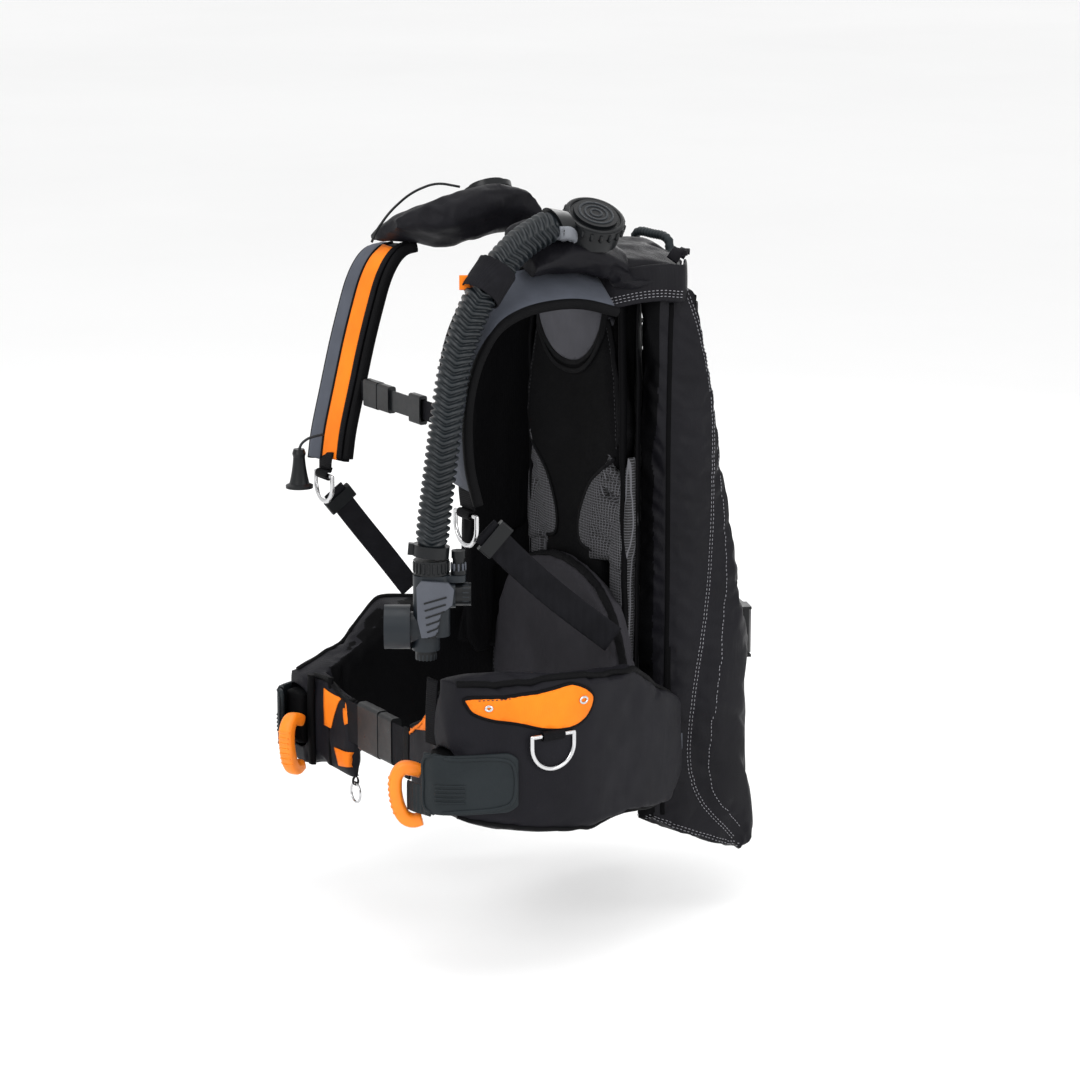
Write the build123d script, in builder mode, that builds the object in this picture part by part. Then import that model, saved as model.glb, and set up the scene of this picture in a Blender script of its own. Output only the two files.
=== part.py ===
"""Buoyancy compensator vest, held on a diving cylinder by its tank band.

Frame: millimetres, +Z up, the wearer faces -Y, +X is the wearer's left. The origin is on the cylinder's
axis, at the middle of the tank band's height. Soft pieces are plain closed solids at their true place.
"""
import os
from math import cos, hypot, radians, sin, tan

from build123d import *

os.makedirs("parts", exist_ok=True)

# ---- driving dimensions ----
TANK_R = 70.0          # cylinder that the band is buckled round
BAND_T = 2.5           # tank band webbing thickness
BAND_H = 50.0          # tank band webbing width
PLATE_T = 5.0          # backpack plate thickness
PLATE_BOTTOM = -120.0
PLATE_TOP = 330.0
CELL_FRONT = -104.0    # front of the air cell's centre panel
CELL_BACK = -84.0
WING_TOP = 408.0
WING_BOTTOM = -232.0
PAD_BACK = -106.0      # back pad, rear face
PAD_T = 22.0
STRAP_T = 11.0         # padded shoulder strap thickness
LEFT_STRAP_W = 58.0
RIGHT_STRAP_W = 66.0
HOSE_D = 35.0          # corrugated hose, over the ribs
BELT_Y = -364.0        # middle of the waist buckle
BELT_Z = -73.0
POUCH_W = 30.0         # ditchable weight pouch: across, along, high
POUCH_L = 114.0
POUCH_H = 60.0
RING_WIRE_R = 2.4      # stainless D-ring wire
GAP = 0.5              # clearance between neighbouring bodies
SHAFT_GAP = 0.05       # running clearance of pins in their bores

VIEW_DIR = 60.0        # the inflator and the pouch handles face this azimuth
ACROSS = Vector(cos(radians(VIEW_DIR)), sin(radians(VIEW_DIR)), 0)
FACING = Vector(sin(radians(VIEW_DIR)), -cos(radians(VIEW_DIR)), 0)
UP = Vector(0, 0, 1)


def save(builder, name):
    """Labels a finished sub-part and writes its STEP file."""
    builder.part.label = name
    export_step(builder.part, f"parts/{name}.step")


def shifted(points, distance):
    """The points of a flat path, each moved sideways to the left of the direction of travel."""
    moved = []
    for i, (u, v) in enumerate(points):
        before = points[max(i - 1, 0)]
        after = points[min(i + 1, len(points) - 1)]
        du, dv = after[0] - before[0], after[1] - before[1]
        length = hypot(du, dv)
        moved.append((u - dv / length * distance, v + du / length * distance))
    return moved


def ribbon(plane, points, thickness, offset=0.0):
    """Sketch of a band of even thickness along a smooth flat path, moved sideways by offset."""
    left = shifted(points, offset + thickness / 2)
    right = shifted(points, offset - thickness / 2)
    with BuildSketch(plane) as band:
        with BuildLine():
            Spline(*left)
            Line(left[-1], right[-1])
            Spline(*right[::-1])
            Line(right[0], left[0])
        make_face()
    return band.sketch


def outline(plane, points):
    """Sketch of a closed straight-sided outline."""
    with BuildSketch(plane) as face:
        with BuildLine():
            Polyline(*points, close=True)
        make_face()
    return face.sketch


def mirrored(points, sign):
    """Points of a plan outline, put on the wearer's left (+1) or right (-1)."""
    return [(sign * x, y) for x, y in points]


def run_plane(start, end, width_dir):
    """Plane at start that looks towards end, with its x axis near width_dir."""
    run = (Vector(*end) - Vector(*start)).normalized()
    side = Vector(*width_dir)
    side = (side - run * side.dot(run)).normalized()
    return Plane(origin=start, x_dir=side, z_dir=run)


def web(start, end, width_dir, width, thickness):
    """Straight webbing between two points, as a private solid."""
    length = (Vector(*end) - Vector(*start)).length
    with BuildSketch(run_plane(start, end, width_dir), mode=Mode.PRIVATE) as section:
        Rectangle(width, thickness)
    return extrude(section.sketch, amount=length, mode=Mode.PRIVATE)


# =====================================================================================================
# Tank side
# =====================================================================================================
with BuildPart() as tank_band:
    with BuildSketch(Plane.XY.offset(-BAND_H / 2)):
        Circle(TANK_R + BAND_T)
        Circle(TANK_R, mode=Mode.SUBTRACT)
    extrude(amount=BAND_H)
save(tank_band, "tank_band")

plate_in = TANK_R + BAND_T + 0.7
PLATE_START, PLATE_SWEEP = -148.0, 116.0
with BuildPart() as backpack_plate:
    with BuildSketch(Plane.XY.offset(PLATE_BOTTOM)):
        with BuildLine():
            inner = CenterArc((0, 0), plate_in, PLATE_START, PLATE_SWEEP)
            outer = CenterArc((0, 0), plate_in + PLATE_T, PLATE_START, PLATE_SWEEP)
            Line(inner @ 0, outer @ 0)
            Line(inner @ 1, outer @ 1)
        make_face()
    extrude(amount=PLATE_TOP - PLATE_BOTTOM)
    with BuildSketch(Plane.XZ):
        for z in (95, 185, 275):
            with Locations((0, z)):
                SlotOverall(46, 22)
    extrude(amount=120, mode=Mode.SUBTRACT)
save(backpack_plate, "backpack_plate")

with BuildPart() as cylinder_grips:
    for z, height in ((-112, 70), (50, 30)):
        with BuildSketch(Plane.XY.offset(z)):
            with BuildLine():
                inner = CenterArc((0, 0), TANK_R + 0.3, -112, 44)
                outer = CenterArc((0, 0), plate_in - 0.2, -112, 44)
                Line(inner @ 0, outer @ 0)
                Line(inner @ 1, outer @ 1)
            make_face()
        extrude(amount=height)
save(cylinder_grips, "cylinder_grips")

HANDLE_X = 38.0
handle_route = [(HANDLE_X, -65.5, PLATE_TOP + 2), (HANDLE_X, -58, 352), (HANDLE_X, -29, 400),
                (HANDLE_X, -26, 449), (-HANDLE_X, -26, 449), (-HANDLE_X, -29, 400),
                (-HANDLE_X, -58, 352), (-HANDLE_X, -65.5, PLATE_TOP + 2)]
with BuildPart() as carry_handle:
    with BuildLine() as path:
        FilletPolyline(*handle_route, radius=12)
    with BuildSketch(Plane(origin=path.line @ 0, z_dir=path.line % 0)):
        Circle(5)
    sweep(path=path.line)
save(carry_handle, "carry_handle")

VALVE_STRAP_Z = 352.0
with BuildPart() as valve_strap:
    with BuildSketch(Plane.XY.offset(VALVE_STRAP_Z)):
        Circle(29)
        Circle(26.5, mode=Mode.SUBTRACT)
    extrude(amount=20)
    with BuildSketch(Plane.XY.offset(VALVE_STRAP_Z)):
        with Locations((0, -53)):
            Rectangle(20, 50)
    extrude(amount=2.5)
    with BuildSketch(Plane.XY.offset(PLATE_TOP + 0.3)):
        with Locations((0, -76.7)):
            Rectangle(20, 2.6)
    extrude(amount=VALVE_STRAP_Z - PLATE_TOP + 2.2)
save(valve_strap, "valve_strap")

BUCKLE_ANGLE = 70.0
radial = Vector(cos(radians(BUCKLE_ANGLE)), sin(radians(BUCKLE_ANGLE)), 0)
tangent = Vector(-radial.Y, radial.X, 0)
buckle_seat = TANK_R + BAND_T + GAP
CAM_PIN_T, CAM_PIN_R_OUT, CAM_PIN_R = -20.0, 10.0, 2.5
cam_base = Plane(origin=radial * buckle_seat, x_dir=tangent, z_dir=radial)
cam_side = Plane(origin=radial * buckle_seat - UP * 29, x_dir=tangent, z_dir=UP)
with BuildPart() as cam_frame:
    with BuildSketch(cam_base):
        RectangleRounded(62, 58, 4)
    extrude(amount=3)
    for shift in (0, 55):
        with BuildSketch(cam_side.offset(shift)):
            with Locations((-16, -7.5)):
                Rectangle(26, 15)
        extrude(amount=3)
    with BuildSketch(cam_side):
        with Locations((CAM_PIN_T, -CAM_PIN_R_OUT)):
            Circle(CAM_PIN_R)
    extrude(amount=58)
save(cam_frame, "cam_buckle_frame")

with BuildPart() as cam_lever:
    with BuildSketch(cam_side.offset(3.6)):
        with BuildLine():
            Polyline((-25, -7), (-25, -13), (-20, -16.5), (44, -13), (54, -9), (54, -5.5), (40, -8),
                     (-10, -9), (-16, -5), close=True)
        make_face()
        with Locations((CAM_PIN_T, -CAM_PIN_R_OUT)):
            Circle(CAM_PIN_R + SHAFT_GAP, mode=Mode.SUBTRACT)
    extrude(amount=50.8)
save(cam_lever, "cam_lever")

# =====================================================================================================
# Air cell
# =====================================================================================================
with BuildPart() as air_cell_center:
    with BuildSketch(Plane.XY.offset(-165)):
        with Locations((0, (CELL_FRONT + CELL_BACK) / 2)):
            RectangleRounded(168, CELL_BACK - CELL_FRONT, 8)
    extrude(amount=570)
save(air_cell_center, "air_cell_center")

WING_OUTER = [(87, -106), (118, -70), (127, -15), (114, 44)]
WING_INNER = [(97, 37), (102, -12), (97, -48), (87, -78)]
WING_SIDE = [(-112, -178), (-85, -190), (-45, -207), (24, WING_BOTTOM), (40, -218), (44, -181),
             (45, -60), (43, 6), (29, 64), (10, 150), (-6, 235), (-28, 330), (-46, WING_TOP),
             (-112, WING_TOP)]
# the right wing also reaches forward beside the wearer's ribs
FLARE_OUTER = [(118, -62), (133, -95), (145, -145), (143, -203)]
FLARE_INNER = [(127, -203), (125, -150), (115, -108), (99, -78)]
FLARE_KEPT = [(-40, 130), (-108, 112), (-142, 90), (-154, 55), (-156, 0), (-164, -32), (-186, -34), (-200, -10),
              (-203, 60), (-203, 300), (-196, 362), (-160, 388), (-112, 392), (-46, 392)]
FLARE_FOOT = -40
for side, sign in (("left", 1), ("right", -1)):
    with BuildPart() as wing:
        with BuildSketch(Plane.XY.offset(WING_BOTTOM)):
            with BuildLine():
                Spline(*mirrored(WING_OUTER, sign))
                Line(mirrored(WING_OUTER, sign)[-1], mirrored(WING_INNER, sign)[0])
                Spline(*mirrored(WING_INNER, sign))
                Line(mirrored(WING_INNER, sign)[-1], mirrored(WING_OUTER, sign)[0])
            make_face()
        extrude(amount=WING_TOP - WING_BOTTOM)
        side_view = outline(Plane.YZ.offset(-150), WING_SIDE)
        extrude(side_view, amount=300, mode=Mode.INTERSECT)
        if side == "right":
            with BuildSketch(Plane.XY.offset(FLARE_FOOT), mode=Mode.PRIVATE) as flare_plan:
                with BuildLine():
                    Spline(*mirrored(FLARE_OUTER, sign))
                    Line(mirrored(FLARE_OUTER, sign)[-1], mirrored(FLARE_INNER, sign)[0])
                    Spline(*mirrored(FLARE_INNER, sign))
                    Line(mirrored(FLARE_INNER, sign)[-1], mirrored(FLARE_OUTER, sign)[0])
                make_face()
            flare = extrude(flare_plan.sketch, amount=400 - FLARE_FOOT, mode=Mode.PRIVATE)
            kept = extrude(outline(Plane.YZ.offset(-170), FLARE_KEPT), amount=100, mode=Mode.PRIVATE)
            add(flare & kept)
    save(wing, f"air_cell_{side}")

# collar: block behind the neck, a bib over the back pad, and one arm over each shoulder.
# each arm section is (y, centre x, centre z, slope in degrees, width, thickness)
ARM_SECTIONS = {
    1: [(125, 86, 433, -16, 80, 24), (175, 86, 457, -30, 84, 28), (245, 86, 452, -30, 76, 22)],
    -1: [(125, 86, 446, -16, 80, 28), (175, 86, 476, -26, 84, 34), (245, 90, 466, -26, 80, 30),
         (270, 104, 464, -18, 76, 22), (292, 118, 457, -14, 72, 14)],
}
with BuildPart() as air_cell_collar:
    with BuildSketch(Plane.XZ.offset(38)):
        with BuildLine():
            Polyline((-126, 411), (-126, 426), (-60, 442), (60, 442), (126, 426), (126, 411), close=True)
        make_face()
    extrude(amount=102)
    block_plan = [(124, -66), (84, -38), (-84, -38), (-124, -66), (-126, -140), (126, -140)]
    extrude(outline(Plane.XY.offset(400), block_plan), amount=60, mode=Mode.INTERSECT)
    with BuildSketch(Plane.XZ.offset(132.5)):
        with BuildLine():
            Polyline((-84, 425), (84, 425), (84, 396), (50, 390), (-50, 390), (-84, 396), close=True)
        make_face()
    extrude(amount=8)
    for sign, sections in ARM_SECTIONS.items():
        for forward, x, z, slope, width, thickness in sections:
            with BuildSketch(Plane.XZ.offset(forward)):
                with Locations((sign * x, z)):
                    RectangleRounded(width, thickness, thickness * 0.4, rotation=sign * slope)
        loft()
save(air_cell_collar, "air_cell_collar")

# =====================================================================================================
# Padding
# =====================================================================================================
BACK_SIDE = [(74, 393), (92, 320), (104, 235), (84, 178), (66, 118)]
PAD_BOTTOM = -70.0
with BuildPart() as back_pad:
    with BuildSketch(Plane.XZ.offset(-PAD_BACK)):
        with BuildLine():
            Spline(*BACK_SIDE)
            Polyline(BACK_SIDE[-1], (66, PAD_BOTTOM), (-66, PAD_BOTTOM), (-66, 118))
            Spline(*mirrored(BACK_SIDE, -1)[::-1])
            Line((-74, 393), (74, 393))
        make_face()
    extrude(amount=PAD_T)
save(back_pad, "back_pad")

with BuildPart() as top_panel:
    with BuildSketch(Plane.XZ.offset(-PAD_BACK + PAD_T + 0.3)):
        with BuildLine():
            Spline((-73, 388), (-62, 348), (-34, 322), (0, 314), (34, 322), (62, 348), (73, 388))
            Line((73, 388), (-73, 388))
        make_face()
    extrude(amount=3)
save(top_panel, "top_panel")

with BuildPart() as mesh_panels:
    for sign in (1, -1):
        with BuildSketch(Plane.XZ.offset(-PAD_BACK)):
            with BuildLine():
                Polyline((sign * 68, PAD_BOTTOM), (sign * 68, 117))
                Spline((sign * 68, 117), (sign * 86.5, 177), (sign * 106, 230))
                Polyline((sign * 106, 230), (sign * 109, 150), (sign * 106, 40), (sign * 102, PAD_BOTTOM),
                         (sign * 68, PAD_BOTTOM))
            make_face()
        extrude(amount=PAD_T - 5)
save(mesh_panels, "mesh_panels")

LUMBAR_ARCH = [(-150, -66), (-146, 0), (-118, 62), (-62, 101), (0, 111), (62, 101), (118, 62), (146, 0),
               (150, -66)]
with BuildPart() as lumbar_pad:
    with BuildSketch(Plane.XZ.offset(-PAD_BACK + PAD_T + 1)):
        with BuildLine():
            Spline(*LUMBAR_ARCH)
            Line(LUMBAR_ARCH[-1], LUMBAR_ARCH[0])
        make_face()
    extrude(amount=17)
save(lumbar_pad, "lumbar_pad")

# =====================================================================================================
# Shoulder harness
# =====================================================================================================
# side views (y, z) of the straps' outer edges; each strap is drawn across along its own lean
LEFT_STRAP = [(-150, 388), (-190, 399), (-225, 401), (-262, 396), (-292, 382), (-310, 360), (-323, 330),
              (-330, 290), (-328, 240), (-318, 198)]
LEFT_LEAN = Vector(-LEFT_STRAP_W, 0, 34)
LEFT_OUTER_X = 134.0
RIGHT_STRAP = [(-276, 430), (-290, 427), (-302, 416), (-313, 396), (-323, 366),
               (-334, 328), (-346, 280), (-357, 235), (-362, 203)]
RIGHT_LEAN = Vector(RIGHT_STRAP_W, 16, 8)
RIGHT_OUTER_X = -172.0

with BuildPart() as left_strap:
    band = ribbon(Plane.YZ.offset(LEFT_OUTER_X), LEFT_STRAP, STRAP_T)
    extrude(band, amount=LEFT_LEAN.length, dir=LEFT_LEAN.normalized())
save(left_strap, "shoulder_strap_left")

with BuildPart() as right_strap:
    band = ribbon(Plane.YZ.offset(RIGHT_OUTER_X), RIGHT_STRAP, STRAP_T)
    extrude(band, amount=RIGHT_LEAN.length, dir=RIGHT_LEAN.normalized())
save(right_strap, "shoulder_strap_right")

# the path runs towards the wearer's front and down, so its right-hand side faces out and up
TRIM_T = 1.6
trim_offset = -(STRAP_T / 2 + TRIM_T / 2 + 0.3)
with BuildPart() as strap_trim:
    start = RIGHT_LEAN * 0.40
    trim_plane = Plane(origin=Vector(RIGHT_OUTER_X, 0, 0) + start, x_dir=(0, 1, 0), z_dir=(1, 0, 0))
    band = ribbon(trim_plane, RIGHT_STRAP, TRIM_T, trim_offset)
    extrude(band, amount=RIGHT_LEAN.length * 0.44, dir=RIGHT_LEAN.normalized())
    kept = [(-300, 404), (-420, 404), (-420, 214), (-300, 214)]
    extrude(outline(Plane.YZ.offset(-180), kept), amount=100, mode=Mode.INTERSECT)
save(strap_trim, "shoulder_strap_trim")

# D-rings: a straight bar in a webbing loop, the bow hangs below
LEFT_RING = Plane(origin=(105, -318, 186), x_dir=(1, 0, 0), z_dir=(0, -1, 0))
RIGHT_RING = Plane(origin=(-134, -364, 191), x_dir=(1, 0, 0), z_dir=(0, -1, 0))
WAIST_RING_X, WAIST_RING_Y, WAIST_RING_Z = 224.5, -282.0, -30.0
LEFT_WAIST_RING = Plane(origin=(WAIST_RING_X, WAIST_RING_Y, WAIST_RING_Z), x_dir=(0, 1, 0), z_dir=(1, 0, 0))
RIGHT_WAIST_RING = Plane(origin=(-WAIST_RING_X, WAIST_RING_Y, WAIST_RING_Z), x_dir=(0, 1, 0),
                         z_dir=(1, 0, 0))
RINGS = {
    "shoulder_ring_left": (LEFT_RING, 46, 34),
    "shoulder_ring_right": (RIGHT_RING, 40, 30),
    "waist_ring_left": (LEFT_WAIST_RING, 50, 36),
    "waist_ring_right": (RIGHT_WAIST_RING, 50, 36),
}
for name, (plane, width, drop) in RINGS.items():
    with BuildPart() as d_ring:
        across, down = plane.x_dir, plane.y_dir * -1
        leg = drop - width / 2
        corners = [plane.origin - across * width / 2, plane.origin + across * width / 2]
        with BuildSketch(Plane(origin=corners[0], z_dir=across)):
            Circle(RING_WIRE_R)
        extrude(amount=width)
        for corner in corners:
            with BuildSketch(Plane(origin=corner, z_dir=down)):
                Circle(RING_WIRE_R)
            extrude(amount=leg)
            with Locations(corner):
                Sphere(RING_WIRE_R)
        with BuildSketch(Plane(origin=corners[1] + down * leg, x_dir=across, z_dir=down)):
            Circle(RING_WIRE_R)
        revolve(axis=Axis(plane.origin + down * leg, plane.z_dir), revolution_arc=-180)
    save(d_ring, name)

SPLIT_RING = Vector(-74, -360, -156.8)
SPLIT_RING_R, SPLIT_WIRE_R = 11.0, 1.4
with BuildPart() as ring_loops:
    for plane, width, drop in RINGS.values():
        section = Plane(origin=plane.origin - plane.x_dir * 13, x_dir=plane.y_dir, z_dir=plane.x_dir)
        with BuildSketch(section):
            RectangleRounded(11.5, 8.4, 3.5)
            Circle(RING_WIRE_R + 0.3, mode=Mode.SUBTRACT)
        extrude(amount=26)
    tab_top = SPLIT_RING + Vector(-1.5, 0, SPLIT_RING_R)
    with BuildSketch(Plane(origin=tab_top, x_dir=(0, 1, 0), z_dir=(1, 0, 0))):
        with Locations((0, 0.9)):
            RectangleRounded(7, 8, 3)
        Circle(SPLIT_WIRE_R + 0.5, mode=Mode.SUBTRACT)
    extrude(amount=3)
save(ring_loops, "ring_loops")

LEFT_WEB_END = (147, -163, 40)
with BuildPart() as left_web:
    add(web((112, -300, 168), LEFT_WEB_END, (-0.15, -0.58, -0.72), 30, 2.2))
save(left_web, "shoulder_webbing_left")

RIGHT_WEB_END = (-168, -240, 42)
with BuildPart() as right_web:
    add(web((-137, -352, 172), RIGHT_WEB_END, (-0.15, -0.62, -0.7), 25, 2.2))
save(right_web, "shoulder_webbing_right")

with BuildPart() as web_sliders:
    for start, end, width in (((112, -300, 168), LEFT_WEB_END, 30), ((-137, -352, 172), RIGHT_WEB_END, 25)):
        plane = run_plane(start, end, (-0.15, -0.6, -0.7)).offset(8)
        with BuildSketch(plane):
            RectangleRounded(width + 10, 8, 2)
            Rectangle(width + 1, 3.4, mode=Mode.SUBTRACT)
        extrude(amount=16)
save(web_sliders, "webbing_sliders")

# sternum strap, on a line across the chest
STERNUM_Y, STERNUM_Z = -331.0, 286.0
with BuildPart() as sternum_socket:
    with BuildSketch(Plane.YZ.offset(-91.5)):
        with Locations((STERNUM_Y, STERNUM_Z)):
            RectangleRounded(11, 30, 3)
    extrude(amount=30)
    with BuildSketch(Plane.YZ.offset(-85)):
        for z in (-8, 8):
            with Locations((STERNUM_Y, STERNUM_Z + z)):
                Rectangle(5.6, 6.6)
    extrude(amount=24, mode=Mode.SUBTRACT)
save(sternum_socket, "sternum_buckle_socket")

with BuildPart() as sternum_plug:
    with BuildSketch(Plane.YZ.offset(-61)):
        with Locations((STERNUM_Y, STERNUM_Z)):
            RectangleRounded(10, 29, 3)
    extrude(amount=26)
    with BuildSketch(Plane.YZ.offset(-83)):
        for z in (-8, 8):
            with Locations((STERNUM_Y, STERNUM_Z + z)):
                Rectangle(4.6, 5.6)
    extrude(amount=22)
    with BuildSketch(Plane.YZ.offset(-36)):
        with Locations((STERNUM_Y - 1.3, STERNUM_Z)):
            Rectangle(1.8, 22)
    extrude(amount=49)
save(sternum_plug, "sternum_buckle_plug")

with BuildPart() as sternum_slider:
    with BuildSketch(Plane.YZ.offset(12)):
        with Locations((STERNUM_Y, STERNUM_Z)):
            RectangleRounded(9.6, 31, 2.5)
            Rectangle(6, 24, mode=Mode.SUBTRACT)
    extrude(amount=24)
save(sternum_slider, "sternum_slider")

with BuildPart() as sternum_webbing:
    with BuildSketch(Plane.YZ.offset(20)):
        with Locations((STERNUM_Y + 1.4, STERNUM_Z)):
            Rectangle(1.8, 22)
    extrude(amount=55)
    with BuildSketch(Plane.YZ.offset(-104.5)):
        with Locations((STERNUM_Y, STERNUM_Z)):
            Rectangle(2, 22)
    extrude(amount=12.5)
save(sternum_webbing, "sternum_webbing")

# =====================================================================================================
# Hose and dump valves
# =====================================================================================================
VALVE = Vector(100, -167, 466.5)
valve_up = Vector(0.5, 0, 0.866)
valve_plane = Plane(origin=VALVE, x_dir=(0, -1, 0), z_dir=valve_up)
CAP_SEAT = 20.0        # height of the elbow housing above its seat
HOSE_ROUTE = [(116, -220, 485), (118, -248, 475), (122, -275.5, 458), (127, -302, 434), (132, -327, 399),
              (136, -347, 354), (138, -358, 300), (137.5, -366, 243), (136, -373, 191),
              (135.5, -375.5, 165)]
hose_start, hose_end = Vector(*HOSE_ROUTE[0]), Vector(*HOSE_ROUTE[-1])
hose_dir = (Vector(*HOSE_ROUTE[1]) - hose_start).normalized()
with BuildPart() as elbow:
    with BuildSketch(valve_plane.offset(3)):
        Circle(31)
    extrude(amount=CAP_SEAT - 3)
    with BuildSketch(Plane(origin=(107, -188, 480), x_dir=(1, 0, 0), z_dir=(0.3, -1, 0.2))):
        Circle(14)
    with BuildSketch(Plane(origin=hose_start, x_dir=(1, 0, 0), z_dir=hose_dir)):
        Circle(19)
    loft()
    with BuildSketch(valve_plane.offset(CAP_SEAT)):
        Circle(33.5)
    extrude(amount=30, mode=Mode.SUBTRACT)
save(elbow, "shoulder_elbow")

with BuildPart() as elbow_cap:
    with BuildSketch(valve_plane.offset(CAP_SEAT + 0.2)):
        Circle(32.5)
    extrude(amount=7.5)
    with BuildSketch(valve_plane.offset(CAP_SEAT + 7.7)):
        Circle(24)
    extrude(amount=3.5)
save(elbow_cap, "elbow_cap")

arms = [Vector(*b) - Vector(*a) for a, b in zip(HOSE_ROUTE, HOSE_ROUTE[1:])]
hose_radii = [0.45 * min(a.length, b.length) / tan(radians(a.get_angle(b) / 2)) for a, b in zip(arms, arms[1:])]
with BuildPart() as hose:
    with BuildLine() as hose_path:
        FilletPolyline(*HOSE_ROUTE, radius=hose_radii)
    with BuildSketch(Plane(origin=hose_start, z_dir=hose_dir)):
        Circle(HOSE_D / 2)
    sweep(path=hose_path.line)
hose_length = sum(edge.length for edge in hose_path.line.edges())
print("hose radii", [round(r) for r in hose_radii], "length", round(hose_length, 1),
      "volume ratio", round(hose.part.volume / (hose_length * 3.14159 * (HOSE_D / 2) ** 2), 4))
save(hose, "corrugated_hose")

KEEPER_AT = 0.26
with BuildPart() as hose_keeper:
    keeper_plane = Plane(origin=hose_path.line @ KEEPER_AT, z_dir=hose_path.line % KEEPER_AT)
    with BuildSketch(keeper_plane.offset(-19)):
        Circle(HOSE_D / 2 + 4.5)
        Circle(HOSE_D / 2 + 2, mode=Mode.SUBTRACT)
    extrude(amount=38)
save(hose_keeper, "hose_keeper")

RIGHT_VALVE = Vector(-96, -178, 492.5)
right_valve_plane = Plane(origin=RIGHT_VALVE, x_dir=(0, -1, 0), z_dir=(-0.44, 0, 0.9))
with BuildPart() as right_valve:
    with BuildSketch(right_valve_plane.offset(1)):
        Circle(27)
    extrude(amount=6)
    with BuildSketch(right_valve_plane.offset(7)):
        Circle(20)
    extrude(amount=4)
save(right_valve, "shoulder_dump_valve")

CABLE_ROUTE = [(-108, -207, 500), (-112, -234, 506), (-118, -262, 496), (-124, -285, 476),
               (-128, -300, 455), (-129, -305, 443)]
cable_arms = [Vector(*b) - Vector(*a) for a, b in zip(CABLE_ROUTE, CABLE_ROUTE[1:])]
cable_radii = [0.45 * min(a.length, b.length) / tan(radians(a.get_angle(b) / 2))
               for a, b in zip(cable_arms, cable_arms[1:])]
with BuildPart() as dump_cable:
    with BuildLine() as cable_path:
        FilletPolyline(*CABLE_ROUTE, radius=cable_radii)
    with BuildSketch(Plane(origin=cable_path.line @ 0, z_dir=cable_path.line % 0)):
        Circle(1.4)
    sweep(path=cable_path.line)
save(dump_cable, "dump_cable")

KNOB = (-130, -396, 200)
with BuildPart() as dump_knob:
    with BuildSketch(Plane(origin=KNOB, x_dir=(1, 0, 0), z_dir=(0, -1, 0))):
        with BuildLine():
            Polyline((0, -20), (15, -20), (15, -17), (11, -15))
            Spline((11, -15), (8, 0), (6.5, 14))
            Polyline((6.5, 14), (7.5, 18), (6, 23), (0, 23), (0, -20))
        make_face()
    revolve(axis=Axis(KNOB, (0, 0, 1)))
save(dump_knob, "dump_knob")

with BuildPart() as rear_valve:
    with BuildSketch(Plane(origin=(-129, -12, -150), x_dir=(0, 1, 0), z_dir=(-1, 0, 0))):
        Circle(25)
    extrude(amount=7)
    with BuildSketch(Plane(origin=(-136, -12, -150), x_dir=(0, 1, 0), z_dir=(-1, 0, 0))):
        Circle(18)
    extrude(amount=4)
save(rear_valve, "rear_dump_valve")

# =====================================================================================================
# Inflator, in an upright plane that faces the wearer's left front
# =====================================================================================================
INFLATOR = Vector(135.5, -376, 100)
front = Plane(origin=INFLATOR, x_dir=ACROSS, z_dir=FACING)
level = Plane(origin=INFLATOR, x_dir=ACROSS, z_dir=UP)


def along(u, z):
    """Plane across the inflator: origin u along ACROSS and z up, facing ACROSS."""
    return Plane(origin=INFLATOR + ACROSS * u + UP * z, x_dir=FACING, z_dir=ACROSS)


with BuildPart() as hose_collar:
    end_dir = (hose_end - Vector(*HOSE_ROUTE[-2])).normalized()
    with BuildSketch(Plane(origin=hose_end, x_dir=ACROSS, z_dir=end_dir)):
        Circle(19)
        with Locations((-18, 0)):
            RectangleRounded(12, 8, 2)
    extrude(amount=12)
save(hose_collar, "hose_collar")

with BuildPart() as inflator_nut:
    with BuildSketch(level.offset(35)):
        RegularPolygon(18.6, 12)
    extrude(amount=15)
save(inflator_nut, "inflator_nut")

BUTTON_Z, BUTTON_R = 13.0, 12.0
TOE_U, TOE_Z, TOE_R = -6.0, -34.0, 11.0
MOUTH_Z = -22.0
NIPPLE_U = 28.0
with BuildPart() as inflator_body:
    with BuildSketch(level.offset(-30)):
        RectangleRounded(38, 32, 12)
    extrude(amount=64.5)
    with BuildSketch(level.offset(27)):
        with Locations((NIPPLE_U - 6, 0)):
            RectangleRounded(27, 20, 8)
    extrude(amount=7)
    with BuildSketch(along(10, BUTTON_Z)):
        Circle(BUTTON_R + 2.5)
    extrude(amount=15)
    with BuildSketch(along(-30, MOUTH_Z)):
        Circle(16)
    extrude(amount=20)
    with BuildSketch(level.offset(-46)):
        with Locations((TOE_U, 0)):
            Circle(TOE_R + 3.5)
    extrude(amount=22)
    with BuildSketch(along(14, BUTTON_Z)):
        Circle(BUTTON_R + 0.4)
    extrude(amount=20, mode=Mode.SUBTRACT)
    with BuildSketch(level.offset(-60)):
        with Locations((TOE_U, 0)):
            Circle(TOE_R + 0.4)
    extrude(amount=60 + TOE_Z, mode=Mode.SUBTRACT)
save(inflator_body, "inflator_body")

with BuildPart() as inflator_grip:
    with BuildSketch(front.offset(16.6)):
        with BuildLine():
            Polyline((-15, 24), (-10, 31), (18, 29), (24, 22), (22, 6), (10, -4), (6, -28), (-10, -29),
                     (-14, -10), close=True)
        make_face()
    extrude(amount=5)
save(inflator_grip, "inflator_grip")

with BuildPart() as inflate_button:
    with BuildSketch(along(20, BUTTON_Z)):
        Circle(BUTTON_R)
    extrude(amount=21)
save(inflate_button, "inflate_button")

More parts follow.
